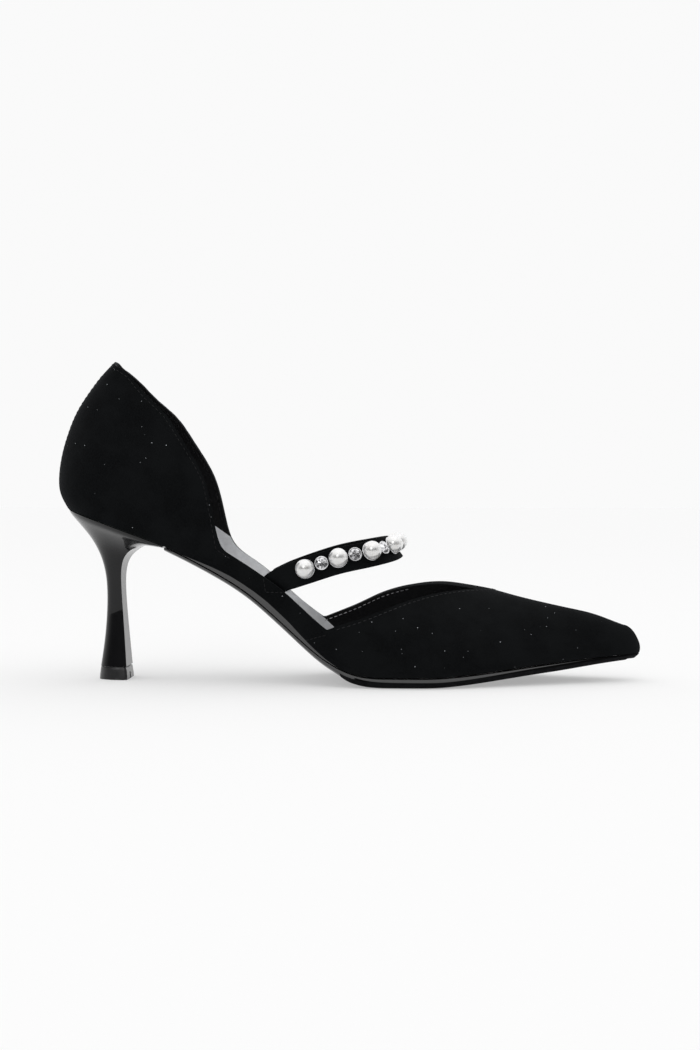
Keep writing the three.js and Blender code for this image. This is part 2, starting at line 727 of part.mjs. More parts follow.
function stoneProfile() {
  const radius = STONE_DIAMETER / 2;
  return [
    [0, 0],
    [radius * 0.9, 0],
    [radius, radius * 0.5],
    [radius * 0.84, radius * 0.66],
    [radius * 0.5, radius * 0.92],
    [0, radius * 0.95],
  ];
}

// Shares of the strap where studs sit, at an even pitch both ways from the crown.
function studShares() {
  const middle = strapCurves[1];
  middle.arcLengthDivisions = 400;
  const length = middle.getLength();
  const crown = STRAP.length / (strapLines.length - 1);
  const crownArc = middle.getLengths().at(Math.round(crown * middle.arcLengthDivisions));
  const shares = [];
  for (let k = -STUDS_EACH_SIDE; k <= STUDS_EACH_SIDE; k += 1) {
    shares.push(middle.getUtoTmapping((crownArc + k * STUD_PITCH) / length));
  }
  return shares;
}

function makeStuds() {
  return studShares().map((t, i) => {
    const number = Math.floor(i / 2) + 1;
    if (i % 2 === 0) return studMesh(`pearl_${number}`, pearlProfile(), PEARL_SEGMENTS, pearl, t);
    return studMesh(`stone_${number}`, stoneProfile(), STONE_SEGMENTS, crystal, t);
  });
}

// The shoe, moved so that the origin lies on the floor under the middle of its box

const shoe = new THREE.Group();
shoe.add(makeUpper(), makeInsole(), makeOutsole(), makeHeel(), makeTopLift(), makeStrap());
shoe.add(...makeStuds());
const box = new THREE.Box3().setFromObject(shoe);
const middle = box.getCenter(new THREE.Vector3());
shoe.position.set(-middle.x, -middle.y, -box.min.z);
shoe.updateMatrixWorld(true);

export default shoe;
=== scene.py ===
# %% [markdown]
# # A studded instep-strap pump
#
# This notebook dresses a right shoe: a black suede pump with open sides, a strap of beads and cut
# stones over the instep, and a slim gloss heel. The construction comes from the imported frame, in metres,
# with the toe along +X, the little-toe side at -Y and the floor at Z = 0. What is left is the look: soft
# surfaces in place of facets, seams and stitches, and finishes that read as suede, leather and gloss.

# %% Load the frame
import json
import math

import bmesh
import bpy
from mathutils import Matrix, Vector
from mathutils.kdtree import KDTree

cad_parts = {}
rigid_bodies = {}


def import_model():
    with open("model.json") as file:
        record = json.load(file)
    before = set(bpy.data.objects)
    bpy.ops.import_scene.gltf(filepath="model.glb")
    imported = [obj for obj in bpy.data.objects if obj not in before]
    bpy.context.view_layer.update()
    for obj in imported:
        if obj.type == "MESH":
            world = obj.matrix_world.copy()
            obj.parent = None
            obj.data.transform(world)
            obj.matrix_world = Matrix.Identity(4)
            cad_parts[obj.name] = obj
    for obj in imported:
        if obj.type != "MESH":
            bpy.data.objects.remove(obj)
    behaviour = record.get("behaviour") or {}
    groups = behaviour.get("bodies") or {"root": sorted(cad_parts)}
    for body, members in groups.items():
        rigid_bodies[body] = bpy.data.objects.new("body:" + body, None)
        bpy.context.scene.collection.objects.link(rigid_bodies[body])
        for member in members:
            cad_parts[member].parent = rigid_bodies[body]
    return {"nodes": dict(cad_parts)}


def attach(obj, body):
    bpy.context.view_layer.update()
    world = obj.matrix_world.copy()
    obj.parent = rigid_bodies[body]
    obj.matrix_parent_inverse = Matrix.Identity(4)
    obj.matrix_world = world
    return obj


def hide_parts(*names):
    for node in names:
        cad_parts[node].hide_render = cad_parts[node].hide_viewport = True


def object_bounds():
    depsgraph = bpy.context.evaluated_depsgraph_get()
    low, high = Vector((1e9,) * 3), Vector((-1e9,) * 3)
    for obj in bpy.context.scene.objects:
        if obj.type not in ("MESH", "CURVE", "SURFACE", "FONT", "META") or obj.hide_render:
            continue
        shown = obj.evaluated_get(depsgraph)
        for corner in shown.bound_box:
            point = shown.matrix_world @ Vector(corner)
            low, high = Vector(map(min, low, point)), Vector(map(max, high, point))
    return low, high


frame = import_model()
cad_low, cad_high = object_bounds()
MM = 0.001
scene = bpy.context.scene
print("nodes:", len(frame["nodes"]), "box:", [round(v, 4) for v in cad_high - cad_low])

# %% [markdown]
# The places of seams and stitches are easiest to think of in the maker's own measures: millimetres from
# the back of the heel and up from the floor. One small function turns them into frame coordinates.

# %% Maker's measures
HEEL_BACK = cad_low.x


def at(along, across, up):
    """Millimetres from the heel's back, from the middle line and from the floor, as a frame point."""
    return Vector((HEEL_BACK + along * MM, across * MM, up * MM))


print("the ball of the foot is near", [round(v, 4) for v in at(147, 0, 0)])

# %% [markdown]
# ## Camera
#
# The photograph was taken from the little-toe side, almost level with the floor and a touch towards the
# toe. A long lens keeps the near and far edges close together. The place and lens were fitted to the
# shoe's outline, so the camera is set from an azimuth, a rise and a distance around one target.

# %% Camera
TARGET = at(125, 0.7, 65.9)
AZIMUTH = math.radians(2.2)
RISE = math.radians(1.2)
DISTANCE = 0.7
PIXELS_PER_MM = 2.34
PHOTO_WIDTH = 700
SENSOR = 36.0

backwards = Vector(
    (math.sin(AZIMUTH) * math.cos(RISE), -math.cos(AZIMUTH) * math.cos(RISE), math.sin(RISE))
)
camera_data = bpy.data.cameras.new("view_camera")
camera_data.sensor_fit = "HORIZONTAL"
camera_data.sensor_width = SENSOR
camera_data.lens = SENSOR * PIXELS_PER_MM * (DISTANCE / MM) / PHOTO_WIDTH
camera = bpy.data.objects.new("view_camera", camera_data)
camera.location = TARGET + backwards * DISTANCE
camera.rotation_euler = backwards.to_track_quat("Z", "Y").to_euler()
scene.collection.objects.link(camera)
scene.camera = camera
print("lens:", round(camera_data.lens, 2), "mm at", [round(v, 4) for v in camera.location])

# %% [markdown]
# ## Node helpers
#
# The sky and the finishes are both node trees, built from the same few steps: set a socket to a value or
# link it, do a sum, and stretch one range of values softly onto another.

# %% Node helpers


def feed(tree, slot, value):
    """Links a socket to a slot, or types a plain value into it."""
    if hasattr(value, "is_linked"):
        tree.links.new(value, slot)
    else:
        slot.default_value = value


def math_node(tree, operation, first, second):
    """A Math node on two values, each a socket or a number."""
    node = tree.nodes.new("ShaderNodeMath")
    node.operation = operation
    for slot, value in zip(node.inputs, (first, second)):
        feed(tree, slot, value)
    return node.outputs[0]


def remap(tree, value, low, high, to_low=0.0, to_high=1.0):
    """A soft step of a value from one range onto another."""
    node = tree.nodes.new("ShaderNodeMapRange")
    node.interpolation_type = "SMOOTHSTEP"
    node.inputs["From Min"].default_value = low
    node.inputs["From Max"].default_value = high
    node.inputs["To Min"].default_value = to_low
    node.inputs["To Max"].default_value = to_high
    tree.links.new(value, node.inputs["Value"])
    return node.outputs["Result"]


def blend_values(tree, share, first, second):
    """Mixes two values, each a socket or a number, by a share socket."""
    node = tree.nodes.new("ShaderNodeMix")
    tree.links.new(share, node.inputs["Factor"])
    feed(tree, node.inputs["A"], first)
    feed(tree, node.inputs["B"], second)
    return node.outputs["Result"]


print("node helpers ready")

# %% [markdown]
# ## Studio
#
# The photograph has a seamless white ground, so the floor is one large pale plane. It glows a little, which
# keeps the shadows on it as faint as in the photograph. The plain view transform keeps near-white as
# near-white.

# %% Floor
FLOOR_SIZE = 14.0
FLOOR_GREY = (0.54, 0.54, 0.54, 1)
FLOOR_GLOW = 0.375
FLOOR_ROUGH = 0.6
WHITE = (1, 1, 1, 1)
scene.view_settings.view_transform = "Standard"


def deselect():
    bpy.ops.object.select_all(action="DESELECT")


deselect()
bpy.ops.mesh.primitive_plane_add(size=FLOOR_SIZE, location=(0, 0, 0))
floor = bpy.context.active_object
floor.name = "floor"
print("floor:", FLOOR_SIZE, "m across")

# %% Floor finish
floor_look = bpy.data.materials.new("floor_pale")
floor_look.use_nodes = True
floor_shader = floor_look.node_tree.nodes["Principled BSDF"]
floor_shader.inputs["Base Color"].default_value = FLOOR_GREY
floor_shader.inputs["Emission Color"].default_value = WHITE
floor_shader.inputs["Emission Strength"].default_value = FLOOR_GLOW
floor_shader.inputs["Roughness"].default_value = FLOOR_ROUGH
floor_shader.inputs["Specular IOR Level"].default_value = 0.0
floor.data.materials.append(floor_look)
print("floor finish set")

# %% [markdown]
# A soft dome is bright behind and above and dim in front, so that gloss faces can turn dark.
# One round patch of it, in front and up, glows as a soft box does and gives the heel its grey reflection.
# The camera itself sees plain white wherever nothing is in the way.

# %% Sky dome
BACK_LIGHT = 0.955
FRONT_LIGHT = 0.1
FRONT_TO_BACK = (-0.75, 0.25)
TOP_LIGHT = 1.2
TOP_BEGINS = (0.3, 0.8)
SOFT_BOX = Vector((-0.16, -0.88, 0.44)).normalized()
SOFT_BOX_EDGE = (math.cos(math.radians(19)), math.cos(math.radians(10)))
SOFT_BOX_LIGHT = 1.6
SEEN_WHITE = 0.955

world = bpy.data.worlds.new("studio")
scene.world = world
world.use_nodes = True
dome = world.node_tree
direction = dome.nodes.new("ShaderNodeTexCoord").outputs["Generated"]
split = dome.nodes.new("ShaderNodeSeparateXYZ")
dome.links.new(direction, split.inputs[0])
sides = remap(dome, split.outputs["Y"], *FRONT_TO_BACK, FRONT_LIGHT, BACK_LIGHT)
sky = blend_values(dome, remap(dome, split.outputs["Z"], *TOP_BEGINS), sides, TOP_LIGHT)
print("dome from", FRONT_LIGHT, "in front to", BACK_LIGHT, "behind and", TOP_LIGHT, "above")

# %% Soft box and backdrop
box_angle = dome.nodes.new("ShaderNodeVectorMath")
box_angle.operation = "DOT_PRODUCT"
box_angle.inputs[1].default_value = SOFT_BOX
dome.links.new(direction, box_angle.inputs[0])
box_glow = remap(dome, box_angle.outputs["Value"], *SOFT_BOX_EDGE, 0.0, SOFT_BOX_LIGHT)
lit_sky = math_node(dome, "ADD", sky, box_glow)
seen = dome.nodes.new("ShaderNodeLightPath")
backdrop = blend_values(dome, seen.outputs["Is Camera Ray"], lit_sky, SEEN_WHITE)
dome.links.new(backdrop, dome.nodes["Background"].inputs["Strength"])
dome.nodes["Background"].inputs["Color"].default_value = WHITE
print("soft box set, backdrop at", SEEN_WHITE)

# %% [markdown]
# A weak square panel overhead adds the small light spot on top of each bead.

# %% Overhead panel
PANEL_SIZE = 1.1
PANEL_POWER = 1.0
PANEL_PLACE = Vector((0.05, -0.25, 1.25))
PANEL_AIM = Vector((0, 0, 0.03))

panel_data = bpy.data.lights.new("top_panel", "AREA")
panel_data.shape = "SQUARE"
panel_data.size = PANEL_SIZE
panel_data.energy = PANEL_POWER
panel = bpy.data.objects.new("top_panel", panel_data)
panel.location = PANEL_PLACE
panel.rotation_euler = (PANEL_PLACE - PANEL_AIM).to_track_quat("Z", "Y").to_euler()
scene.collection.objects.link(panel)
print("panel:", PANEL_SIZE, "m wide,", PANEL_POWER, "W")

# %% [markdown]
# ## Shared surface effects
#
# Each effect is a node group with named inputs and outputs, so that one recipe serves several finishes
# with its own values. The groups only put out masks and heights, and the shader stays in each material.

# %% Group helper


def new_group(name, inputs, outputs):
    """A group with float inputs (name, default) and float outputs, with its input and output nodes."""
    group = bpy.data.node_groups.new(name, "ShaderNodeTree")
    for label, value in inputs:
        socket = group.interface.new_socket(label, in_out="INPUT", socket_type="NodeSocketFloat")
        socket.default_value = value
    for label in outputs:
        group.interface.new_socket(label, in_out="OUTPUT", socket_type="NodeSocketFloat")
    return group, group.nodes.new("NodeGroupInput"), group.nodes.new("NodeGroupOutput")


def noise(group, scale, detail, rough=0.5):
    """A noise texture on Object coordinates. Scale is a socket or a number, in turns per metre."""
    node = group.nodes.new("ShaderNodeTexNoise")
    place = group.nodes.new("ShaderNodeTexCoord")
    group.links.new(place.outputs["Object"], node.inputs["Vector"])
    node.inputs["Detail"].default_value = detail
    node.inputs["Roughness"].default_value = rough
    feed(group, node.inputs["Scale"], scale)
    return node.outputs["Fac"]


print("group helpers ready")

# %% [markdown]
# Nap is the brushed fibre surface of suede. A coarse noise gives the soft blotches where the fibres lie
# differently, and a very fine one gives the fibres themselves, as tone and as height.

# %% Nap group
BLOTCHES = 70.0
TUFTS = 700.0
FIBRES = 2600.0
BLOTCH_RANGE = (0.36, 0.66)
FIBRE_RANGE = (0.3, 0.7)
TUFT_SHARE = 0.6

nap, nap_in, nap_out = new_group("nap", [("Scale", 1.0)], ["Brushed", "Fibre", "Height"])
blotch = noise(nap, math_node(nap, "MULTIPLY", nap_in.outputs["Scale"], BLOTCHES), 3.0, 0.6)
fibre = noise(nap, math_node(nap, "MULTIPLY", nap_in.outputs["Scale"], FIBRES), 2.0, 0.7)
tuft = noise(nap, math_node(nap, "MULTIPLY", nap_in.outputs["Scale"], TUFTS), 2.0, 0.6)
nap.links.new(remap(nap, blotch, *BLOTCH_RANGE), nap_out.inputs["Brushed"])
nap.links.new(remap(nap, fibre, *FIBRE_RANGE), nap_out.inputs["Fibre"])
nap_height = math_node(nap, "ADD", math_node(nap, "MULTIPLY", tuft, TUFT_SHARE), fibre)
nap.links.new(nap_height, nap_out.inputs["Height"])
print("nap group:", len(nap.nodes), "nodes")

# %% [markdown]
# Tiny pale lint specks sit on the dark suede. In a cell texture, a small disc around the point of each
# cell is a speck, and a random value keeps only some of them.

# %% Lint group
CELLS_WITHOUT_LINT = 0.3

lint, lint_in, lint_out = new_group("lint", [("Scale", 330.0), ("Size", 0.06)], ["Speck"])
cells = lint.nodes.new("ShaderNodeTexVoronoi")
cell_place = lint.nodes.new("ShaderNodeTexCoord")
lint.links.new(cell_place.outputs["Object"], cells.inputs["Vector"])
lint.links.new(lint_in.outputs["Scale"], cells.inputs["Scale"])
chance = lint.nodes.new("ShaderNodeSeparateColor")
lint.links.new(cells.outputs["Color"], chance.inputs[0])
near = math_node(lint, "LESS_THAN", cells.outputs["Distance"], lint_in.outputs["Size"])
kept = math_node(lint, "GREATER_THAN", chance.outputs[0], CELLS_WITHOUT_LINT)
shown = math_node(lint, "MULTIPLY", near, kept)
lint.links.new(math_node(lint, "MULTIPLY", shown, chance.outputs[1]), lint_out.inputs["Speck"])
print("lint group:", len(lint.nodes), "nodes")

# %% [markdown]
# Leather grain is a net of fine creases. The distance to the edge of small cells, with a little noise on
# top, gives its height for the metallic sock, the lining and, very faintly, the lacquered heel.

# %% Grain group
CREASE_WIDTH = 0.25
FINE_TIMES = 3.0
CLOUD_TIMES = 0.2
CLOUD_RANGE = (0.3, 0.7)

grain, grain_in, grain_out = new_group("grain", [("Scale", 900.0)], ["Height", "Cloud"])
pebbles = grain.nodes.new("ShaderNodeTexVoronoi")
pebbles.feature = "DISTANCE_TO_EDGE"
pebble_place = grain.nodes.new("ShaderNodeTexCoord")
grain.links.new(pebble_place.outputs["Object"], pebbles.inputs["Vector"])
grain.links.new(grain_in.outputs["Scale"], pebbles.inputs["Scale"])
pebble_height = remap(grain, pebbles.outputs["Distance"], 0.0, CREASE_WIDTH)
fine = noise(grain, math_node(grain, "MULTIPLY", grain_in.outputs["Scale"], FINE_TIMES), 2.0)
grain.links.new(math_node(grain, "ADD", pebble_height, fine), grain_out.inputs["Height"])
cloud = noise(grain, math_node(grain, "MULTIPLY", grain_in.outputs["Scale"], CLOUD_TIMES), 3.0, 0.6)
grain.links.new(remap(grain, cloud, *CLOUD_RANGE), grain_out.inputs["Cloud"])
print("grain group:", len(grain.nodes), "nodes")

# %% [markdown]
# ## Finishes
#
# A small helper opens a material and returns its node tree and shader. Everything that is the same all
# over a surface is typed on the shader's own sockets, and only what varies is linked.

# %% Finish helpers


def finish_for(name, **values):
    """A new material whose shader sockets take the given values, with spaces as underscores."""
    look = bpy.data.materials.new(name)
    look.use_nodes = True
    tree = look.node_tree
    shader = tree.nodes["Principled BSDF"]
    for label, value in values.items():
        shader.inputs[label.replace("_", " ")].default_value = value
    return look, tree, shader


def place_group(tree, group, **values):
    """A copy of a node group in a material, with its own values."""
    node = tree.nodes.new("ShaderNodeGroup")
    node.node_tree = group
    for label, value in values.items():
        node.inputs[label].default_value = value
    return node


def blend_colours(tree, share, first, second):
    """Mixes two colours, each a socket or a colour, by a share socket."""
    node = tree.nodes.new("ShaderNodeMix")
    node.data_type = "RGBA"
    tree.links.new(share, node.inputs["Factor"])
    for slot, value in ((node.inputs["A"], first), (node.inputs["B"], second)):
        feed(tree, slot, value if hasattr(value, "is_linked") else (*value, 1.0))
    return node.outputs["Result"]


def relief(tree, shader, height, distance, strength=1.0):
    """A bump that feeds the shader. The distance is its height in metres where the height value is 1."""
    node = tree.nodes.new("ShaderNodeBump")
    node.inputs["Distance"].default_value = distance
    node.inputs["Strength"].default_value = strength
    tree.links.new(height, node.inputs["Height"])
    tree.links.new(node.outputs["Normal"], shader.inputs["Normal"])
    return node


print("finish helpers ready")

# %% [markdown]
# Suede is nearly black and quite matt, with a faint cool sheen where fibres catch the light from the side.
# One function makes it in any tone, because the folded edges and the rims are suede too. The rims get a
# lighter tone, a painted highlight where light catches the folded edge. The suede of the upper also gets
# the lint.

# %% Suede
SUEDE_DEEP = (0.0016, 0.0018, 0.0021)
SUEDE_RAISED = (0.0052, 0.0058, 0.0063)
SUEDE_ROUGH = 0.9
SHEEN_TINT = (0.8, 0.86, 0.95, 1)
NAP_DEPTH = 0.12 * MM
NAP_STRENGTH = 0.5
SPECK_COLOUR = (0.5, 0.52, 0.55)


def suede_finish(name, deep=SUEDE_DEEP, raised=SUEDE_RAISED):
    """Plain suede. Also gives back what the upper's suede adds its lint and its rand to."""
    look, tree, shader = finish_for(
        name,
        Roughness=SUEDE_ROUGH,
        Specular_IOR_Level=0.05,
        Sheen_Weight=0.015,
        Sheen_Roughness=0.45,
        Sheen_Tint=SHEEN_TINT,
    )
    fibres = place_group(tree, nap, Scale=1.0)
    colour = blend_colours(tree, fibres.outputs["Brushed"], deep, raised)
    colour = blend_colours(tree, fibres.outputs["Fibre"], colour, raised)
    tree.links.new(colour, shader.inputs["Base Color"])
    surface = relief(tree, shader, fibres.outputs["Height"], NAP_DEPTH, NAP_STRENGTH)
    return look, tree, shader, colour, fibres, surface


parts = suede_finish("suede_black")
suede_look, suede_tree, suede_shader, suede_colour, suede_fibres, suede_surface = parts
lint_dots = place_group(suede_tree, lint)
suede_colour = blend_colours(suede_tree, lint_dots.outputs["Speck"], suede_colour, SPECK_COLOUR)
print("suede:", len(suede_look.node_tree.nodes), "nodes")

# %% [markdown]
# The lacquered sole edge climbs over the foot of the upper along the waist. Where it does, a surface value
# called rand turns positive, and the suede changes there to gloss black. A second, broad bump makes the
# lacquered strip look rolled under towards the sole.

# %% Suede with a rand
GLOSS_BLACK = (0.003, 0.003, 0.0035)
RAND_BLUR = 0.06
ROLL_UNDER = 0.45
LACQUER_ROUGH = 0.35
LACQUER_COAT_ROUGH = 0.06
LACQUER_IOR = 1.75

rand = suede_tree.nodes.new("ShaderNodeAttribute")
rand.attribute_name = "rand"
lacquered = remap(suede_tree, rand.outputs["Fac"], -RAND_BLUR, RAND_BLUR)
suede_colour = blend_colours(suede_tree, lacquered, suede_colour, GLOSS_BLACK)
suede_tree.links.new(suede_colour, suede_shader.inputs["Base Color"])
rand_rough = remap(suede_tree, lacquered, 0.0, 1.0, SUEDE_ROUGH, LACQUER_ROUGH)
suede_tree.links.new(rand_rough, suede_shader.inputs["Roughness"])
suede_tree.links.new(lacquered, suede_shader.inputs["Coat Weight"])
suede_shader.inputs["Coat Roughness"].default_value = LACQUER_COAT_ROUGH
suede_shader.inputs["Coat IOR"].default_value = LACQUER_IOR
print("rand turns the suede to gloss")

# %% Rand relief
nap_left = math_node(suede_tree, "SUBTRACT", 1.0, lacquered)
nap_part = math_node(suede_tree, "MULTIPLY", suede_fibres.outputs["Height"], nap_left)
suede_tree.links.new(nap_part, suede_surface.inputs["Height"])
depth = math_node(suede_tree, "MAXIMUM", rand.outputs["Fac"], 0.0)
roll = math_node(suede_tree, "MULTIPLY", math_node(suede_tree, "POWER", depth, 2.0), -ROLL_UNDER)
rolled = relief(suede_tree, suede_shader, roll, MM)
suede_tree.links.new(rolled.outputs["Normal"], suede_surface.inputs["Normal"])
suede_tree.links.new(suede_surface.outputs["Normal"], suede_shader.inputs["Normal"])
print("suede with its rand:", len(suede_look.node_tree.nodes), "nodes")

# %% [markdown]
# Inside, the counter and the vamp are lined in matt black, and the low side bands in the same silver
# leather as the sock. They meet on slanting lines across the inside of the shoe. One finish covers the
# whole inner wall and chooses by place: silver below the counter's edge and behind the vamp's edge.

# %% Metallic leather
SILVER = (0.8, 0.805, 0.82)
SILVER_SHADE = (0.7, 0.705, 0.72)
LEATHER_GRAIN = 1500.0
LEATHER_DEPTH = 0.05 * MM
LEATHER_STRENGTH = 0.6


def silver_colours(tree):
    """The grain of the silver leather in a material, and its slightly cloudy colour."""
    grained = place_group(tree, grain, Scale=LEATHER_GRAIN)
    colour = blend_colours(tree, grained.outputs["Cloud"], SILVER_SHADE, SILVER)
    return grained, colour


metallic_look, metallic_tree, metallic_shader = finish_for(
    "leather_metallic", Metallic=0.35, Roughness=0.36, Coat_Weight=0.15, Coat_Roughness=0.25
)
sock_grain, sock_colour = silver_colours(metallic_tree)
metallic_tree.links.new(sock_colour, metallic_shader.inputs["Base Color"])
relief(metallic_tree, metallic_shader, sock_grain.outputs["Height"], LEATHER_DEPTH, LEATHER_STRENGTH)
print("metallic leather ready")

# %% Lining by place
LINING_BLACK = (0.003, 0.003, 0.0035)
LINING_METAL = 0.3
LINING_ROUGH = (0.62, 0.34)
COUNTER_SLOPE = 0.684
COUNTER_EDGE = at(0, 0, 109.3).z + COUNTER_SLOPE * HEEL_BACK
VAMP_EDGE = at(112.6, 0, 0).x + 24.6 * MM

lining_look, lining_tree, lining_shader = finish_for("lining", Specular_IOR_Level=0.15)
spot = lining_tree.nodes.new("ShaderNodeTexCoord")
axes = lining_tree.nodes.new("ShaderNodeSeparateXYZ")
lining_tree.links.new(spot.outputs["Object"], axes.inputs[0])
fall = math_node(lining_tree, "MULTIPLY", axes.outputs["X"], COUNTER_SLOPE)
level = math_node(lining_tree, "ADD", axes.outputs["Z"], fall)
under_line = math_node(lining_tree, "LESS_THAN", level, COUNTER_EDGE)
slant = math_node(lining_tree, "ADD", axes.outputs["X"], axes.outputs["Z"])
behind_vamp = math_node(lining_tree, "LESS_THAN", slant, VAMP_EDGE)
silver_part = math_node(lining_tree, "MULTIPLY", under_line, behind_vamp)
band_grain, band_colour = silver_colours(lining_tree)
lining_colour = blend_colours(lining_tree, silver_part, LINING_BLACK, band_colour)
lining_tree.links.new(lining_colour, lining_shader.inputs["Base Color"])
lining_metal = math_node(lining_tree, "MULTIPLY", silver_part, LINING_METAL)
lining_tree.links.new(lining_metal, lining_shader.inputs["Metallic"])
lining_rough = remap(lining_tree, silver_part, 0.0, 1.0, *LINING_ROUGH)
lining_tree.links.new(lining_rough, lining_shader.inputs["Roughness"])
relief(lining_tree, lining_shader, band_grain.outputs["Height"], LEATHER_DEPTH, LEATHER_STRENGTH)
print("lining turns silver below the edge of the counter")

# %% [markdown]
# The heel is sprayed gloss black and the outsole's edge is lacquered, so both carry a clear coat. Round the
# forefoot the lower part of the edge carries painted shade instead: near black, matt and without the coat,
# where the edge turns under towards the floor. A surface value called band, 0 at the bottom and 1 at the
# top, says where.

# %% Heel gloss
HEEL_DEEP = (0.0015, 0.0015, 0.002)
HEEL_LIGHT = (0.003, 0.003, 0.0036)
HEEL_WAVES = 260.0
HEEL_WAVE_DEPTH = 0.2 * MM
HEEL_WAVE_STRENGTH = 0.12

heel_look, heel_tree, heel_shader = finish_for(
    "heel_gloss", Roughness=0.3, Specular_IOR_Level=0.05, Coat_Weight=0.6, Coat_Roughness=0.03
)
lacquer = place_group(heel_tree, grain, Scale=HEEL_WAVES)
heel_colour = blend_colours(heel_tree, lacquer.outputs["Cloud"], HEEL_DEEP, HEEL_LIGHT)
heel_tree.links.new(heel_colour, heel_shader.inputs["Base Color"])
relief(heel_tree, heel_shader, lacquer.outputs["Cloud"], HEEL_WAVE_DEPTH, HEEL_WAVE_STRENGTH)
print("heel gloss ready")

# %% Sole edge gloss and painted shade
EDGE_DEEP = (0.006, 0.006, 0.0065)
EDGE_LIGHT = (0.014, 0.014, 0.015)
EDGE_PAINTED_SHADE = (0.0012, 0.0012, 0.0014)
EDGE_SHADE_ROUGH = 0.75
EDGE_GRAIN = 700.0
EDGE_DEPTH = 0.03 * MM
EDGE_STRENGTH = 0.35
PAINTED_SHADE_LIMIT = (0.56, 0.64)

sole_look, sole_tree, sole_shader = finish_for(
    "sole_gloss",
    Specular_IOR_Level=0.05,
    Coat_Roughness=LACQUER_COAT_ROUGH,
    Coat_IOR=LACQUER_IOR,
)
sole_grain = place_group(sole_tree, grain, Scale=EDGE_GRAIN)
sole_colour = blend_colours(sole_tree, sole_grain.outputs["Cloud"], EDGE_DEEP, EDGE_LIGHT)
edge_share = sole_tree.nodes.new("ShaderNodeAttribute")
edge_share.attribute_name = "band"
# Low on the forefoot edge the colour turns near black and matt with no coat: painted shade where the edge
# turns under.
lacquer_not_shade = remap(sole_tree, edge_share.outputs["Fac"], *PAINTED_SHADE_LIMIT)
sole_colour = blend_colours(sole_tree, lacquer_not_shade, EDGE_PAINTED_SHADE, sole_colour)
sole_rough = remap(sole_tree, lacquer_not_shade, 0.0, 1.0, EDGE_SHADE_ROUGH, LACQUER_ROUGH)
sole_tree.links.new(sole_colour, sole_shader.inputs["Base Color"])
sole_tree.links.new(sole_rough, sole_shader.inputs["Roughness"])
sole_tree.links.new(lacquer_not_shade, sole_shader.inputs["Coat Weight"])
relief(sole_tree, sole_shader, sole_grain.outputs["Height"], EDGE_DEPTH, EDGE_STRENGTH)
print("sole edge gloss ready")

# %% [markdown]
# The underside of the sole is plain matt rubber. The lift under the heel is harder and slightly polished,
# and its front face has a small slot. The slot is not modelled: the finish finds it by place and paints its
# shade in, near black and matt.

# %% Rubber
RUBBER_DEEP = (0.004, 0.004, 0.0045)
RUBBER_LIGHT = (0.009, 0.009, 0.01)
RUBBER_GRAIN = 1800.0
RUBBER_DEPTH = 0.08 * MM
RUBBER_STRENGTH = 0.7


def rubber_finish(name, rough, shine):
    """Black rubber. Also gives back what the lift adds the painted shade of its slot to."""
    look, tree, shader = finish_for(name, Roughness=rough, Specular_IOR_Level=shine)
    surface = place_group(tree, grain, Scale=RUBBER_GRAIN)
    colour = blend_colours(tree, surface.outputs["Cloud"], RUBBER_DEEP, RUBBER_LIGHT)
    tree.links.new(colour, shader.inputs["Base Color"])
    relief(tree, shader, surface.outputs["Height"], RUBBER_DEPTH, RUBBER_STRENGTH)
    return look, tree, shader, colour


rubber_look = rubber_finish("rubber_black", 0.85, 0.04)[0]
print("rubber ready")

# %% Lift
SLOT_HALF_WIDTH = 1.1 * MM
SLOT_TOP = 2.9 * MM
SLOT_FRONT = at(28.5, 0, 0).x
SLOT_PAINTED_SHADE = (0.0004, 0.0004, 0.0004)
LIFT_ROUGH = 0.5
LIFT_COAT = 0.7
LIFT_COAT_ROUGH = 0.12

lift_look, lift_tree, lift_shader, lift_colour = rubber_finish("lift_rubber", LIFT_ROUGH, 0.3)
where = lift_tree.nodes.new("ShaderNodeTexCoord")
way = lift_tree.nodes.new("ShaderNodeSeparateXYZ")
lift_tree.links.new(where.outputs["Object"], way.inputs[0])
# Painted shade of the slot: a narrow low patch on the lift's front turns near black, matt and uncoated.
aside = math_node(lift_tree, "ABSOLUTE", way.outputs["Y"], 0.0)
narrow = math_node(lift_tree, "LESS_THAN", aside, SLOT_HALF_WIDTH)
low = math_node(lift_tree, "LESS_THAN", way.outputs["Z"], SLOT_TOP)
front = math_node(lift_tree, "GREATER_THAN", way.outputs["X"], SLOT_FRONT)
slot_shade_mask = math_node(lift_tree, "MULTIPLY", math_node(lift_tree, "MULTIPLY", narrow, low), front)
lift_colour = blend_colours(lift_tree, slot_shade_mask, lift_colour, SLOT_PAINTED_SHADE)
lift_coat = remap(lift_tree, slot_shade_mask, 0.0, 1.0, LIFT_COAT, 0.0)
lift_rough = remap(lift_tree, slot_shade_mask, 0.0, 1.0, LIFT_ROUGH, 1.0)
lift_tree.links.new(lift_colour, lift_shader.inputs["Base Color"])
lift_tree.links.new(lift_coat, lift_shader.inputs["Coat Weight"])
lift_tree.links.new(lift_rough, lift_shader.inputs["Roughness"])
lift_shader.inputs["Coat Roughness"].default_value = LIFT_COAT_ROUGH
print("lift ready, with its slot")

# %% [markdown]
# ## From facets to soft surfaces
#
# The frame's solids have the true form, cut into flat facets. For the render each one is copied, its
# loose triangles are merged and turned back into four-sided faces, its corners are creased, and a
# subdivision surface rounds it. The crease decides how tight a corner stays.

# %% Smooth copies
MERGE_REACH = 0.002 * MM
FLAT_ENOUGH = math.radians(70)
SQUARE_ENOUGH = math.radians(85)
SMOOTH_LIMIT = math.radians(40)


def only(piece):
    """Makes a piece the one selected and active object."""
    deselect()
    piece.select_set(True)
    bpy.context.view_layer.objects.active = piece


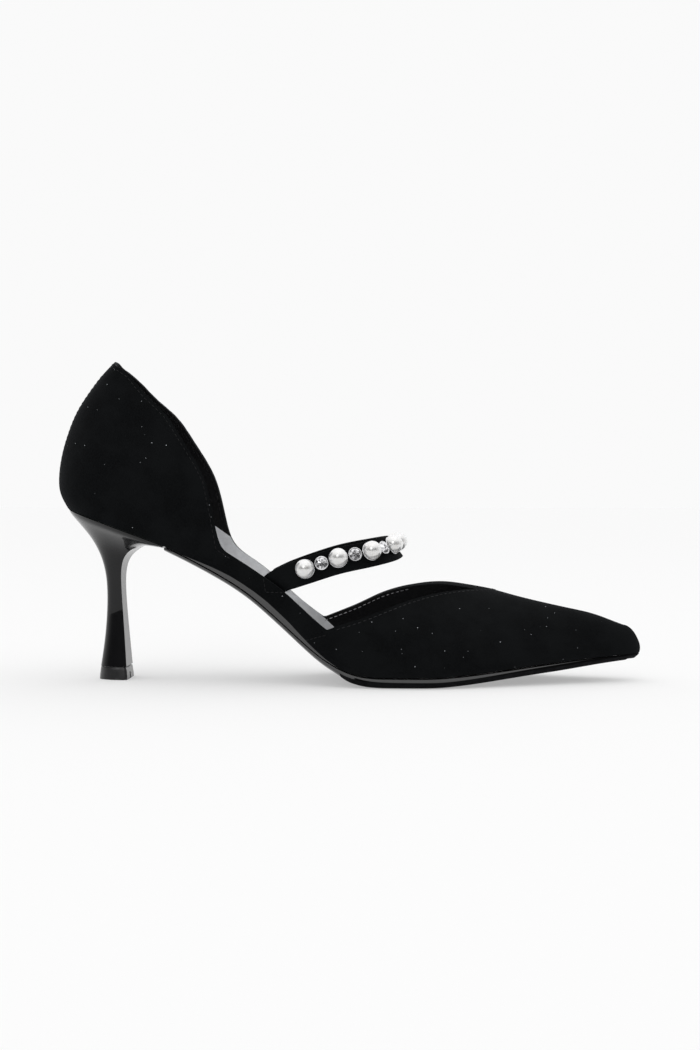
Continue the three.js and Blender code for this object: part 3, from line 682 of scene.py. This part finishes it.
def merged_copy(node, name):
    """A copy of a frame node as one connected mesh of quads where its triangles allow."""
    mesh = frame["nodes"][node].data.copy()
    piece = bpy.data.objects.new(name, mesh)
    scene.collection.objects.link(piece)
    mesh.materials.clear()
    only(piece)
    bpy.ops.object.mode_set(mode="EDIT")
    bpy.ops.mesh.select_all(action="SELECT")
    bpy.ops.mesh.remove_doubles(threshold=MERGE_REACH)
    bpy.ops.mesh.customdata_custom_splitnormals_clear()
    bpy.ops.mesh.tris_convert_to_quads(face_threshold=FLAT_ENOUGH, shape_threshold=SQUARE_ENOUGH)
    bpy.ops.object.mode_set(mode="OBJECT")
    return piece


def select_sharp(piece, corner):
    """Leaves a piece in edit mode with its edges sharper than a corner angle in degrees selected."""
    only(piece)
    bpy.ops.object.mode_set(mode="EDIT")
    bpy.ops.mesh.select_mode(type="EDGE")
    bpy.ops.mesh.select_all(action="DESELECT")
    bpy.ops.mesh.edges_select_sharp(sharpness=math.radians(corner))


def soften(piece, corner, crease, levels):
    """Creases the edges sharper than a corner angle in degrees, then subdivides and smooths."""
    select_sharp(piece, corner)
    bpy.ops.transform.edge_crease(value=crease)
    bpy.ops.object.mode_set(mode="OBJECT")
    rounding = piece.modifiers.new("rounding", "SUBSURF")
    rounding.levels = levels
    rounding.render_levels = levels
    bpy.ops.object.modifier_apply(modifier=rounding.name)
    bpy.ops.object.shade_smooth_by_angle(angle=SMOOTH_LIMIT)


def settle(piece, slot, *nodes):
    """Lets a finished piece ride on the shoe and hides the frame nodes that it stands for. The slot is not
    used.
    """
    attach(piece, "root")
    if nodes:
        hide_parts(*nodes)


print("smooth copy helpers ready")

# %% [markdown]
# ## Upper
#
# The upper is one shell with an outside, an inside and narrow rims. Its sharp edges are marked as seams
# first, so that a pick of one face can grow over a whole wall and stop at the rim. The walls then get their
# own materials: suede outside, lining inside, and on the rims folded suede made lighter by a painted
# highlight, where light catches the edge.

# %% Walls of the upper
# The rims' suede is several times lighter than the walls': a painted highlight where light catches the
# folded edge.
RIM_HIGHLIGHT_DEEP = (0.012, 0.0125, 0.013)
RIM_HIGHLIGHT_RAISED = (0.024, 0.025, 0.026)
RIM, OUTSIDE, INSIDE = 0, 1, 2
UPPER_CORNER = 48
SIDE_FROM = 10 * MM
SIDE_REACH = 20 * MM

edge_look = suede_finish("suede_edge")[0]
rim_highlight_look = suede_finish("suede_rim_highlight", RIM_HIGHLIGHT_DEEP, RIM_HIGHLIGHT_RAISED)[0]
upper = merged_copy("upper", "upper_shell")
for look in (rim_highlight_look, suede_look, lining_look):
    upper.data.materials.append(look)


def grow_wall(piece, seed, slot_index):
    """Gives a material slot to the whole wall round a face, as far as the marked seams."""
    deselect()
    only(piece)
    bpy.ops.object.mode_set(mode="EDIT")
    bpy.ops.mesh.select_all(action="DESELECT")
    bpy.ops.mesh.select_mode(type="FACE")
    bpy.ops.object.mode_set(mode="OBJECT")
    piece.data.polygons[seed].select = True
    bpy.ops.object.mode_set(mode="EDIT")
    bpy.ops.mesh.select_linked(delimit={"SEAM"})
    piece.active_material_index = slot_index
    bpy.ops.object.material_slot_assign()
    bpy.ops.object.mode_set(mode="OBJECT")


select_sharp(upper, UPPER_CORNER)
bpy.ops.mesh.mark_seam()
bpy.ops.object.mode_set(mode="OBJECT")
side_faces = [
    f for f in upper.data.polygons if f.center.y < -SIDE_FROM and abs(f.center.x) < SIDE_REACH
]
outer_seed = min(side_faces, key=lambda f: f.normal.y).index
inner_seed = max(side_faces, key=lambda f: f.normal.y).index
grow_wall(upper, outer_seed, OUTSIDE)
grow_wall(upper, inner_seed, INSIDE)
counts = [sum(f.material_index == i for f in upper.data.polygons) for i in (RIM, OUTSIDE, INSIDE)]
print("faces on rims, outside and inside:", counts)

# %% [markdown]
# Stitches follow the top line, so its points are read off now, while the mesh is still coarse and its rim
# is a clean chain of edges. Each point keeps the direction that runs down the wall from it.

# %% Top line chains


def rim_chain(mesh, wall, choose=max):
    """The highest or lowest chain of edges between a wall and a rim, as (point, way off the rim)."""
    reader = bmesh.new()
    reader.from_mesh(mesh)
    links = {}
    downs = {}
    for edge in reader.edges:
        found = {face.material_index: face for face in edge.link_faces}
        if wall in found and RIM in found:
            first, second = edge.verts
            middle = (first.co + second.co) / 2
            run = (second.co - first.co).normalized()
            away = found[wall].calc_center_median() - middle
            away = (away - run * away.dot(run)).normalized()
            for one, other in ((first, second), (second, first)):
                links.setdefault(one.index, []).append(other.index)
                downs.setdefault(one.index, Vector())
                downs[one.index] += away
    reader.verts.ensure_lookup_table()
    places = {i: reader.verts[i].co.copy() for i in links}
    reader.free()
    chains = []
    left = set(links)
    while left:
        here = left.pop()
        chain = [here]
        while True:
            ahead = [i for i in links[here] if i in left]
            if not ahead:
                break
            here = ahead[0]
            left.discard(here)
            chain.append(here)
        chains.append(chain)
    top = choose(chains, key=lambda chain: sum(places[i].z for i in chain) / len(chain))
    return [(places[i], downs[i].normalized()) for i in top]


outer_rim = rim_chain(upper.data, OUTSIDE)
inner_rim = rim_chain(upper.data, INSIDE)
foot_rim = rim_chain(upper.data, OUTSIDE, choose=min)
print("rim points outside, inside and at the foot:", len(outer_rim), len(inner_rim), len(foot_rim))

# %% Rounded upper
TOE_DROP = 1.15 * MM
TOE_DROP_START = at(225, 0, 0).x
TOE_DROP_LENGTH = 21 * MM
TOE_DROP_FOOT = at(0, 0, 12).z
TOE_DROP_RISE = 8 * MM


def ease(share):
    """A smooth step from 0 to 1."""
    share = min(max(share, 0.0), 1.0)
    return share * share * (3 - 2 * share)


soften(upper, UPPER_CORNER, 0.55, 2)
for vertex in upper.data.vertices:
    forward = (vertex.co.x - TOE_DROP_START) / TOE_DROP_LENGTH
    height = (vertex.co.z - TOE_DROP_FOOT) / TOE_DROP_RISE
    if forward > 0 and height > 0:
        vertex.co.z -= TOE_DROP * ease(forward) * ease(height)
settle(upper, "suede", "upper")
print("upper:", len(upper.data.polygons), "faces")

# %% [markdown]
# The rand's height above the foot of the upper follows the photograph: highest under the waist, and
# nothing round the forefoot. Each point of the upper stores how far it lies inside the rand, in
# millimetres, so that the finish can cut a clean edge between the points.

# %% Lacquered rand
RAND_HEIGHTS = [
    (-10, -0.6), (50, -0.4), (60, 0.35), (68, 1.2), (76, 1.8), (84, 1.95), (92, 2.35), (101, 2.15),
    (109, 1.25), (119, 0.3), (128, -0.4), (260, -0.4),
]


def rand_height(along):
    """The rand's height at a distance from the heel's back, both in millimetres."""
    for (a, low), (b, high) in zip(RAND_HEIGHTS, RAND_HEIGHTS[1:]):
        if along <= b:
            return low + (high - low) * (along - a) / (b - a)
    return RAND_HEIGHTS[-1][1]


RAND_STEP = 0.25 * MM

foot_line = [point for point, _ in foot_rim]
dense = []
for a, b in zip(foot_line, foot_line[1:] + foot_line[:1]):
    steps = max(1, round((b - a).length / RAND_STEP))
    dense.extend(a.lerp(b, k / steps) for k in range(steps))
nearest = KDTree(len(dense))
for i, point in enumerate(dense):
    nearest.insert(point, i)
nearest.balance()
rand_value = upper.data.attributes.new("rand", "FLOAT", "POINT")
for vertex in upper.data.vertices:
    _, _, gap = nearest.find(vertex.co)
    along = (vertex.co.x - HEEL_BACK) / MM
    rand_value.data[vertex.index].value = rand_height(along) - gap / MM
print("rand stored on", len(upper.data.vertices), "points")

# %% [markdown]
# ## Sock, sole, heel and lift
#
# These come over in the same way. The heel's corners stay tighter than the sock's padded edge.

# %% Lower pieces


def dress(node, name, look, slot, corner, crease, levels=2):
    """A rounded copy of a frame node with its finish."""
    piece = merged_copy(node, name)
    piece.data.materials.append(look)
    soften(piece, corner, crease, levels)
    settle(piece, slot, node)
    print(name, len(piece.data.polygons), "faces")
    return piece


UNDERSIDE = -0.5
FOREFOOT = at(122, 0, 0).x
dress("insole", "sock", metallic_look, "metallic_leather", 45, 0.45)
sole = dress("outsole", "outsole_body", sole_look, "sole_gloss", 40, 0.7)
sole.data.materials.append(rubber_look)
for face in sole.data.polygons:
    face.material_index = int(face.normal.z < UNDERSIDE and face.center.x > FOREFOOT)
print("outsole faces of rubber:", sum(face.material_index == 1 for face in sole.data.polygons))

# %% [markdown]
# The outsole thins towards the toe. Its edge is lacquered all over along the waist, and round the forefoot
# its lower part carries painted shade. A ray from below finds the underside just inside each point, which
# gives the point's share of the sole's depth. The share sets how far the point rises, and the finish puts
# the painted shade where the share is low.

# %% Outsole edge
SOLE_DEPTH = 3.0 * MM
INSET = 0.6 * MM
INWARDS = 0.96
RAY_START = -10 * MM
THIN_BY = 1.2 * MM
THIN_START = at(208, 0, 0).x
THIN_LENGTH = 38 * MM
PAINTED_SHADE_FADE_IN = 14 * MM

shares = []
for vertex in sole.data.vertices:
    below = Vector((vertex.co.x - INSET, vertex.co.y * INWARDS, RAY_START))
    hit, spot, _, _ = sole.ray_cast(below, Vector((0, 0, 1)))
    share = (vertex.co.z - spot.z) / SOLE_DEPTH if hit else 0.5
    shares.append(min(max(share, 0.0), 1.0))
band = sole.data.attributes.new("band", "FLOAT", "POINT")
for vertex, share in zip(sole.data.vertices, shares):
    # Along the waist the painted shade fades out, so the whole edge is lacquered there.
    no_painted_shade = 1 - ease((vertex.co.x - FOREFOOT) / PAINTED_SHADE_FADE_IN)
    band.data[vertex.index].value = max(share, no_painted_shade)
    vertex.co.z += THIN_BY * ease((vertex.co.x - THIN_START) / THIN_LENGTH) * (1 - share)
print("outsole shares:", round(min(shares), 2), "to", round(max(shares), 2))

# %% Heel, lift and strap
SEAT_LINE = at(0, 0, 40).z
UPPER_SIDE = 0.75

heel = dress("heel", "heel_body", heel_look, "heel_gloss", 45, 1.0)
heel.data.materials.append(rubber_look)
for face in heel.data.polygons:
    face.material_index = int(face.normal.z > UPPER_SIDE and face.center.z > SEAT_LINE)
dress("top_lift", "lift_body", lift_look, "lift_rubber", 45, 0.9)
dress("strap", "strap_band", edge_look, "suede", 45, 0.7)

# %% [markdown]
# ## Beads and stones
#
# A bead is a ball in a shallow silver cup, and a cut stone is a faceted crown in a round silver rim. Each
# is modelled once, standing on the origin, and copied onto the seats that the frame's solids mark: the
# middle of each solid's flat base, and the direction in which it points.

# %% Seats
BEAD_RADIUS = 3.95 * MM
STONE_RADIUS = 2.9 * MM
ONE_PLANE = 0.9995


def seat(node):
    """The middle of a stud's flat base, and the way the stud points."""
    mesh = frame["nodes"][node].data
    best, best_area = None, 0.0
    for face in mesh.polygons:
        flat = [other for other in mesh.polygons if other.normal.dot(face.normal) > ONE_PLANE]
        area = sum(other.area for other in flat)
        if area > best_area:
            best, best_area = flat, area
    middle = sum((f.center * f.area for f in best), Vector()) / best_area
    return middle, -best[0].normal


bead_seats = [(f"pearl_{i}", *seat(f"pearl_{i}")) for i in range(1, 10)]
stone_seats = [(f"stone_{i}", *seat(f"stone_{i}")) for i in range(1, 9)]
print("seats:", len(bead_seats), "beads and", len(stone_seats), "stones")

# %% Bead finish
PEARL_MIDDLE = (0.76, 0.755, 0.745)
PEARL_EDGE = (0.95, 0.95, 0.96)
PEARL_GLANCE = 0.35

pearl_look, pearl_tree, pearl_shader = finish_for(
    "pearl",
    Metallic=0.55,
    Roughness=0.24,
    Specular_IOR_Level=0.6,
    Coat_Weight=0.8,
    Coat_Roughness=0.06,
    Subsurface_Weight=0.15,
    Subsurface_Radius=(0.002, 0.0018, 0.0016),
)
rim_glance = pearl_tree.nodes.new("ShaderNodeLayerWeight")
rim_glance.inputs["Blend"].default_value = PEARL_GLANCE
pearl_colour = blend_colours(pearl_tree, rim_glance.outputs["Facing"], PEARL_MIDDLE, PEARL_EDGE)
pearl_tree.links.new(pearl_colour, pearl_shader.inputs["Base Color"])
print("bead finish ready")

# %% Silver of the mounts
MOUNT_SHADE = (0.62, 0.62, 0.63)
MOUNT_LIGHT = (0.74, 0.74, 0.75)
MOUNT_POLISH = 500.0

silver_look, silver_tree, silver_shader = finish_for("silver_mount", Metallic=1.0, Roughness=0.2)
polish = place_group(silver_tree, grain, Scale=MOUNT_POLISH)
silver_colour = blend_colours(silver_tree, polish.outputs["Cloud"], MOUNT_SHADE, MOUNT_LIGHT)
silver_tree.links.new(silver_colour, silver_shader.inputs["Base Color"])
print("silver ready")

# %% Bead
BEAD_MIDDLE = 0.42 * BEAD_RADIUS
BEAD_CUT = 0.05 * BEAD_RADIUS

deselect()
bpy.ops.mesh.primitive_uv_sphere_add(
    segments=32, ring_count=20, radius=BEAD_RADIUS, location=(0, 0, BEAD_MIDDLE)
)
bead = bpy.context.active_object
bead.name = "bead"
bpy.ops.object.transform_apply(location=True, rotation=True, scale=True)
bpy.ops.object.mode_set(mode="EDIT")
bpy.ops.mesh.select_mode(type="VERT")
bpy.ops.mesh.select_all(action="DESELECT")
bpy.ops.object.mode_set(mode="OBJECT")
for vertex in bead.data.vertices:
    vertex.select = vertex.co.z < BEAD_CUT
bpy.ops.object.mode_set(mode="EDIT")
bpy.ops.mesh.delete(type="VERT")
bpy.ops.object.mode_set(mode="OBJECT")
bpy.ops.object.shade_smooth()
bead.data.materials.append(pearl_look)
print("bead:", len(bead.data.polygons), "faces")

# %% Silver cup
CUP_FOOT = 0.82 * BEAD_RADIUS
CUP_MOUTH = 0.98 * BEAD_RADIUS
CUP_DEPTH = 0.2 * BEAD_RADIUS
CUP_WALL = 0.3 * MM

deselect()
bpy.ops.mesh.primitive_cone_add(
    vertices=32,
    radius1=CUP_FOOT,
    radius2=CUP_MOUTH,
    depth=CUP_DEPTH,
    location=(0, 0, CUP_DEPTH / 2),
    end_fill_type="NOTHING",
)
cup = bpy.context.active_object
bpy.ops.object.transform_apply(location=True, rotation=True, scale=True)
lip = cup.modifiers.new("lip", "SOLIDIFY")
lip.thickness = CUP_WALL
lip.offset = 0.0
bpy.ops.object.modifier_apply(modifier=lip.name)
bpy.ops.object.shade_smooth_by_angle(angle=SMOOTH_LIMIT)
cup.data.materials.append(silver_look)
bead.select_set(True)
bpy.context.view_layer.objects.active = bead
bpy.ops.object.join()
print("bead with its cup:", len(bead.data.polygons), "faces")

# %% [markdown]
# The stones flash light and dark from facet to facet. The facets are real, but what shows inside a cut
# stone is a play of reflections, and these are painted: each facet has a fixed light or dark colour that
# stands in for its reflection.

# %% Stone finish
FACET_DARK = (0.03, 0.03, 0.035)
FACET_LIGHT = (0.95, 0.95, 0.97)

crystal_look, crystal_tree, crystal_shader = finish_for(
    "crystal", Metallic=0.75, Roughness=0.06, Coat_Weight=1.0, Coat_Roughness=0.02
)
facet_reflection = crystal_tree.nodes.new("ShaderNodeAttribute")
facet_reflection.attribute_name = "painted_reflection"
crystal_colour = blend_colours(crystal_tree, facet_reflection.outputs["Fac"], FACET_DARK, FACET_LIGHT)
crystal_tree.links.new(crystal_colour, crystal_shader.inputs["Base Color"])
print("stone finish ready")

# %% Stone
FACETS = 12
GIRDLE = 0.92 * STONE_RADIUS
TABLE = 0.5 * STONE_RADIUS
CROWN_DEPTH = 0.5 * STONE_RADIUS
CROWN_MIDDLE = 0.62 * STONE_RADIUS
TABLE_RISE = 0.05 * STONE_RADIUS
PAINTED_REFLECTIONS = (0.95, 0.12, 0.6, 0.05, 0.85, 0.3, 1.0, 0.08, 0.45, 0.75)
REFLECTION_STEP = 7

deselect()
bpy.ops.mesh.primitive_cone_add(
    vertices=FACETS,
    radius1=GIRDLE,
    radius2=TABLE,
    depth=CROWN_DEPTH,
    location=(0, 0, CROWN_MIDDLE),
    end_fill_type="TRIFAN",
)
stone = bpy.context.active_object
stone.name = "stone"
bpy.ops.object.transform_apply(location=True, rotation=True, scale=True)
top_point = max(stone.data.vertices, key=lambda v: v.co.z - v.co.xy.length)
top_point.co.z += TABLE_RISE
bpy.ops.object.mode_set(mode="EDIT")
bpy.ops.mesh.select_all(action="SELECT")
bpy.ops.mesh.quads_convert_to_tris()
bpy.ops.object.mode_set(mode="OBJECT")
# Each facet gets a painted reflection, a light or dark value from a fixed list.
painted_reflection = stone.data.attributes.new("painted_reflection", "FLOAT", "FACE")
for i in range(len(stone.data.polygons)):
    painted_reflection.data[i].value = PAINTED_REFLECTIONS[(i * REFLECTION_STEP) % len(PAINTED_REFLECTIONS)]
stone.data.materials.append(crystal_look)
print("stone:", len(stone.data.polygons), "facets")

# %% Silver rim
RIM_RING = 0.9 * STONE_RADIUS
RIM_WIRE = 0.1 * STONE_RADIUS
RIM_HEIGHT = 0.42 * STONE_RADIUS

deselect()
bpy.ops.mesh.primitive_torus_add(
    major_segments=28,
    minor_segments=8,
    major_radius=RIM_RING,
    minor_radius=RIM_WIRE,
    location=(0, 0, RIM_HEIGHT),
)
mount = bpy.context.active_object
bpy.ops.object.transform_apply(location=True, rotation=True, scale=True)
bpy.ops.object.shade_smooth()
mount.data.materials.append(silver_look)
stone.select_set(True)
bpy.context.view_layer.objects.active = stone
bpy.ops.object.join()
print("stone with its rim:", len(stone.data.polygons), "faces")

# %% Copies on the strap
BEAD_TURN = 0.3
STONE_TURN = 0.7


def set_on(model, node, middle, outward, turn, slot):
    """A copy of a model with its own mesh, standing on a seat."""
    copy = bpy.data.objects.new(node + "_set", model.data.copy())
    tilt = outward.to_track_quat("Z", "Y").to_matrix().to_4x4()
    spin = Matrix.Rotation(turn, 4, "Z")
    copy.data.transform(Matrix.Translation(middle) @ tilt @ spin)
    scene.collection.objects.link(copy)
    settle(copy, slot, node)


for i, (node, middle, outward) in enumerate(bead_seats):
    set_on(bead, node, middle, outward, BEAD_TURN * i, "pearl")
for i, (node, middle, outward) in enumerate(stone_seats):
    set_on(stone, node, middle, outward, STONE_TURN * i, "crystal")
bpy.data.objects.remove(bead)
bpy.data.objects.remove(stone)
print("studs set on the strap")

# %% [markdown]
# ## Stitches
#
# A row of small stitches runs just under the top line, outside and inside. One stitch is a flattened
# ball, and copies lie along the rim with their length on the run of the edge.

# %% Stitch rows
STITCH_PITCH = 2.3 * MM
STITCH_LENGTH = 1.7 * MM
STITCH_WIDTH = 0.42 * MM
STITCH_THICKNESS = 0.4 * MM
THREAD_TWIST = 3000.0


def thread_finish(name, dark, light):
    """Twisted thread between two tones."""
    look, tree, shader = finish_for(name, Roughness=0.6, Specular_IOR_Level=0.2)
    twist = place_group(tree, grain, Scale=THREAD_TWIST)
    colour = blend_colours(tree, twist.outputs["Cloud"], dark, light)
    tree.links.new(colour, shader.inputs["Base Color"])
    return look


thread_black = thread_finish("thread_black", (0.003, 0.003, 0.0035), (0.008, 0.008, 0.009))
thread_grey = thread_finish("thread_grey", (0.008, 0.008, 0.009), (0.018, 0.018, 0.02))
thread_pale = thread_finish("thread_pale", (0.2, 0.2, 0.21), (0.42, 0.42, 0.43))

deselect()
bpy.ops.mesh.primitive_uv_sphere_add(segments=8, ring_count=5, radius=0.5)
stitch = bpy.context.active_object
stitch.data.transform(Matrix.Diagonal((STITCH_LENGTH, STITCH_WIDTH, STITCH_THICKNESS, 1)))
bpy.ops.object.shade_smooth()
print("one stitch:", len(stitch.data.polygons), "faces")

# %% Rows along the rim


def even_points(chain, closed, pitch):
    """Points at an even pitch along a chain of vectors, each with its run direction."""
    line = list(chain)
    if closed:
        line.append(chain[0])
    lengths = [(b - a).length for a, b in zip(line, line[1:])]
    total = sum(lengths)
    count = max(2, round(total / pitch))
    found = []
    for k in range(count):
        want = (k + 0.5) * total / count
        i = 0
        while i < len(lengths) - 1 and want > lengths[i]:
            want -= lengths[i]
            i += 1
        run = (line[i + 1] - line[i]).normalized()
        found.append((line[i] + run * want, run))
    return found


def sew(name, chain, closed, thread, pitch=STITCH_PITCH, start=-math.inf, end=math.inf):
    """Lays stitches on the upper along a chain of points, between a start and an end along X."""
    made = []
    for point, run in even_points(chain, closed, pitch):
        if not start < point.x < end:
            continue
        _, spot, normal, _ = upper.closest_point_on_mesh(point)
        run = (run - normal * run.dot(normal)).normalized()
        side = normal.cross(run)
        turn = Matrix((run, side, normal)).transposed().to_4x4()
        copy = bpy.data.objects.new(name, stitch.data.copy())
        copy.data.transform(Matrix.Translation(spot) @ turn)
        scene.collection.objects.link(copy)
        made.append(copy)
    deselect()
    for copy in made:
        copy.select_set(True)
    bpy.context.view_layer.objects.active = made[0]
    bpy.ops.object.join()
    row = bpy.context.active_object
    row.name = name
    row.data.materials.append(thread)
    settle(row, "suede")
    print(name, len(made), "stitches")


STITCH_DROP = 1.5 * MM
outer_line = [point + down * STITCH_DROP for point, down in outer_rim]
inner_line = [point + down * STITCH_DROP for point, down in inner_rim]
COUNTER_END = at(76, 0, 0).x
CORNER_END = at(68, 0, 0).x
VAMP_START = at(121, 0, 0).x
LINING_START = at(113, 0, 0).x
LINING_END = at(150, 0, 0).x
sew("stitches_counter", outer_line, True, thread_black, end=COUNTER_END)
sew("stitches_vamp", outer_line, True, thread_grey, start=VAMP_START)
sew("stitches_counter_lining", inner_line, True, thread_black, end=CORNER_END)
sew("stitches_vamp_lining", inner_line, True, thread_pale, start=LINING_START, end=LINING_END)

# %% [markdown]
# Two more seams sit on the side bands, the same on both sides: an L of stitches that holds each end of
# the strap, and the slanting seam where the vamp laps over the band. The lap's folded edge is a thin cord
# pressed onto the suede.

# %% Side seams
STRAP_HOLD = [(90.1, 44.3), (91.0, 38.6), (98.5, 38.4)]
LAP_EDGE = [(115.4, 22.5), (111.5, 21.5), (106.8, 20.0)]
LAP_STITCHES = [(116.4, 21.4), (112.2, 20.3), (107.8, 18.9)]
CORD_RADIUS = 0.2 * MM
CORD_SINK = 0.25 * CORD_RADIUS
CORD_STEP = 0.8 * MM
SEAM_PITCH = 1.9 * MM
OUT_ASIDE = 60


def wall_line(places, side):
    """Points on the outer wall at a line of (along, up) places, found by looking in from the side."""
    found = []
    for along, up in places:
        _, spot, _, _ = upper.ray_cast(at(along, OUT_ASIDE * side, up), Vector((0, -side, 0)))
        found.append(spot)
    return found


def wall_cord(name, start_points):
    """A thin cord on the outer wall along a line of points."""
    spots = []
    for point, _ in even_points(start_points, False, CORD_STEP):
        _, spot, normal, _ = upper.closest_point_on_mesh(point)
        spots.append(spot - normal * CORD_SINK)
    path = bpy.data.curves.new(name, "CURVE")
    path.dimensions = "3D"
    path.bevel_depth = CORD_RADIUS
    path.bevel_resolution = 2
    path.use_fill_caps = True
    line = path.splines.new("POLY")
    line.points.add(len(spots) - 1)
    for point, spot in zip(line.points, spots):
        point.co = (*spot, 1)
    cord = bpy.data.objects.new(name, path)
    scene.collection.objects.link(cord)
    only(cord)
    bpy.ops.object.convert(target="MESH")
    bpy.ops.object.shade_smooth()
    cord.data.materials.append(edge_look)
    settle(cord, "suede")


for side, label in ((-1, "lateral"), (1, "medial")):
    hold = wall_line(STRAP_HOLD, side)
    lap = wall_line(LAP_STITCHES, side)
    sew("stitches_strap_hold_" + label, hold, False, thread_black, SEAM_PITCH)
    sew("stitches_lap_" + label, lap, False, thread_black, SEAM_PITCH)
    wall_cord("lap_edge_" + label, wall_line(LAP_EDGE, side))
print("side seams done")

# %% [markdown]
# The back seam closes the counter up the middle of the heel: a fine ridge with a row of stitches on
# each side.

# %% Back seam
BACK_FOOT = 78
BACK_TOP = 131
BACK_STEP = 4
BACK_STITCH_GAP = 1.6
BEHIND = -30


def back_line(across):
    """Points up the back of the heel at a distance from the middle line in millimetres."""
    found = []
    for up in range(BACK_FOOT, BACK_TOP, BACK_STEP):
        _, spot, _, _ = upper.ray_cast(at(BEHIND, across, up), Vector((1, 0, 0)))
        found.append(spot)
    return found


wall_cord("back_seam", back_line(0.0))
for across, label in ((-BACK_STITCH_GAP, "lateral"), (BACK_STITCH_GAP, "medial")):
    sew("stitches_back_" + label, back_line(across), False, thread_black)
print("back seam done")

# %% [markdown]
# ## Tidying up
#
# The one stitch that the rows were copied from is removed. The visual model has to stay inside the
# frame's own box.

bpy.data.objects.remove(stitch)
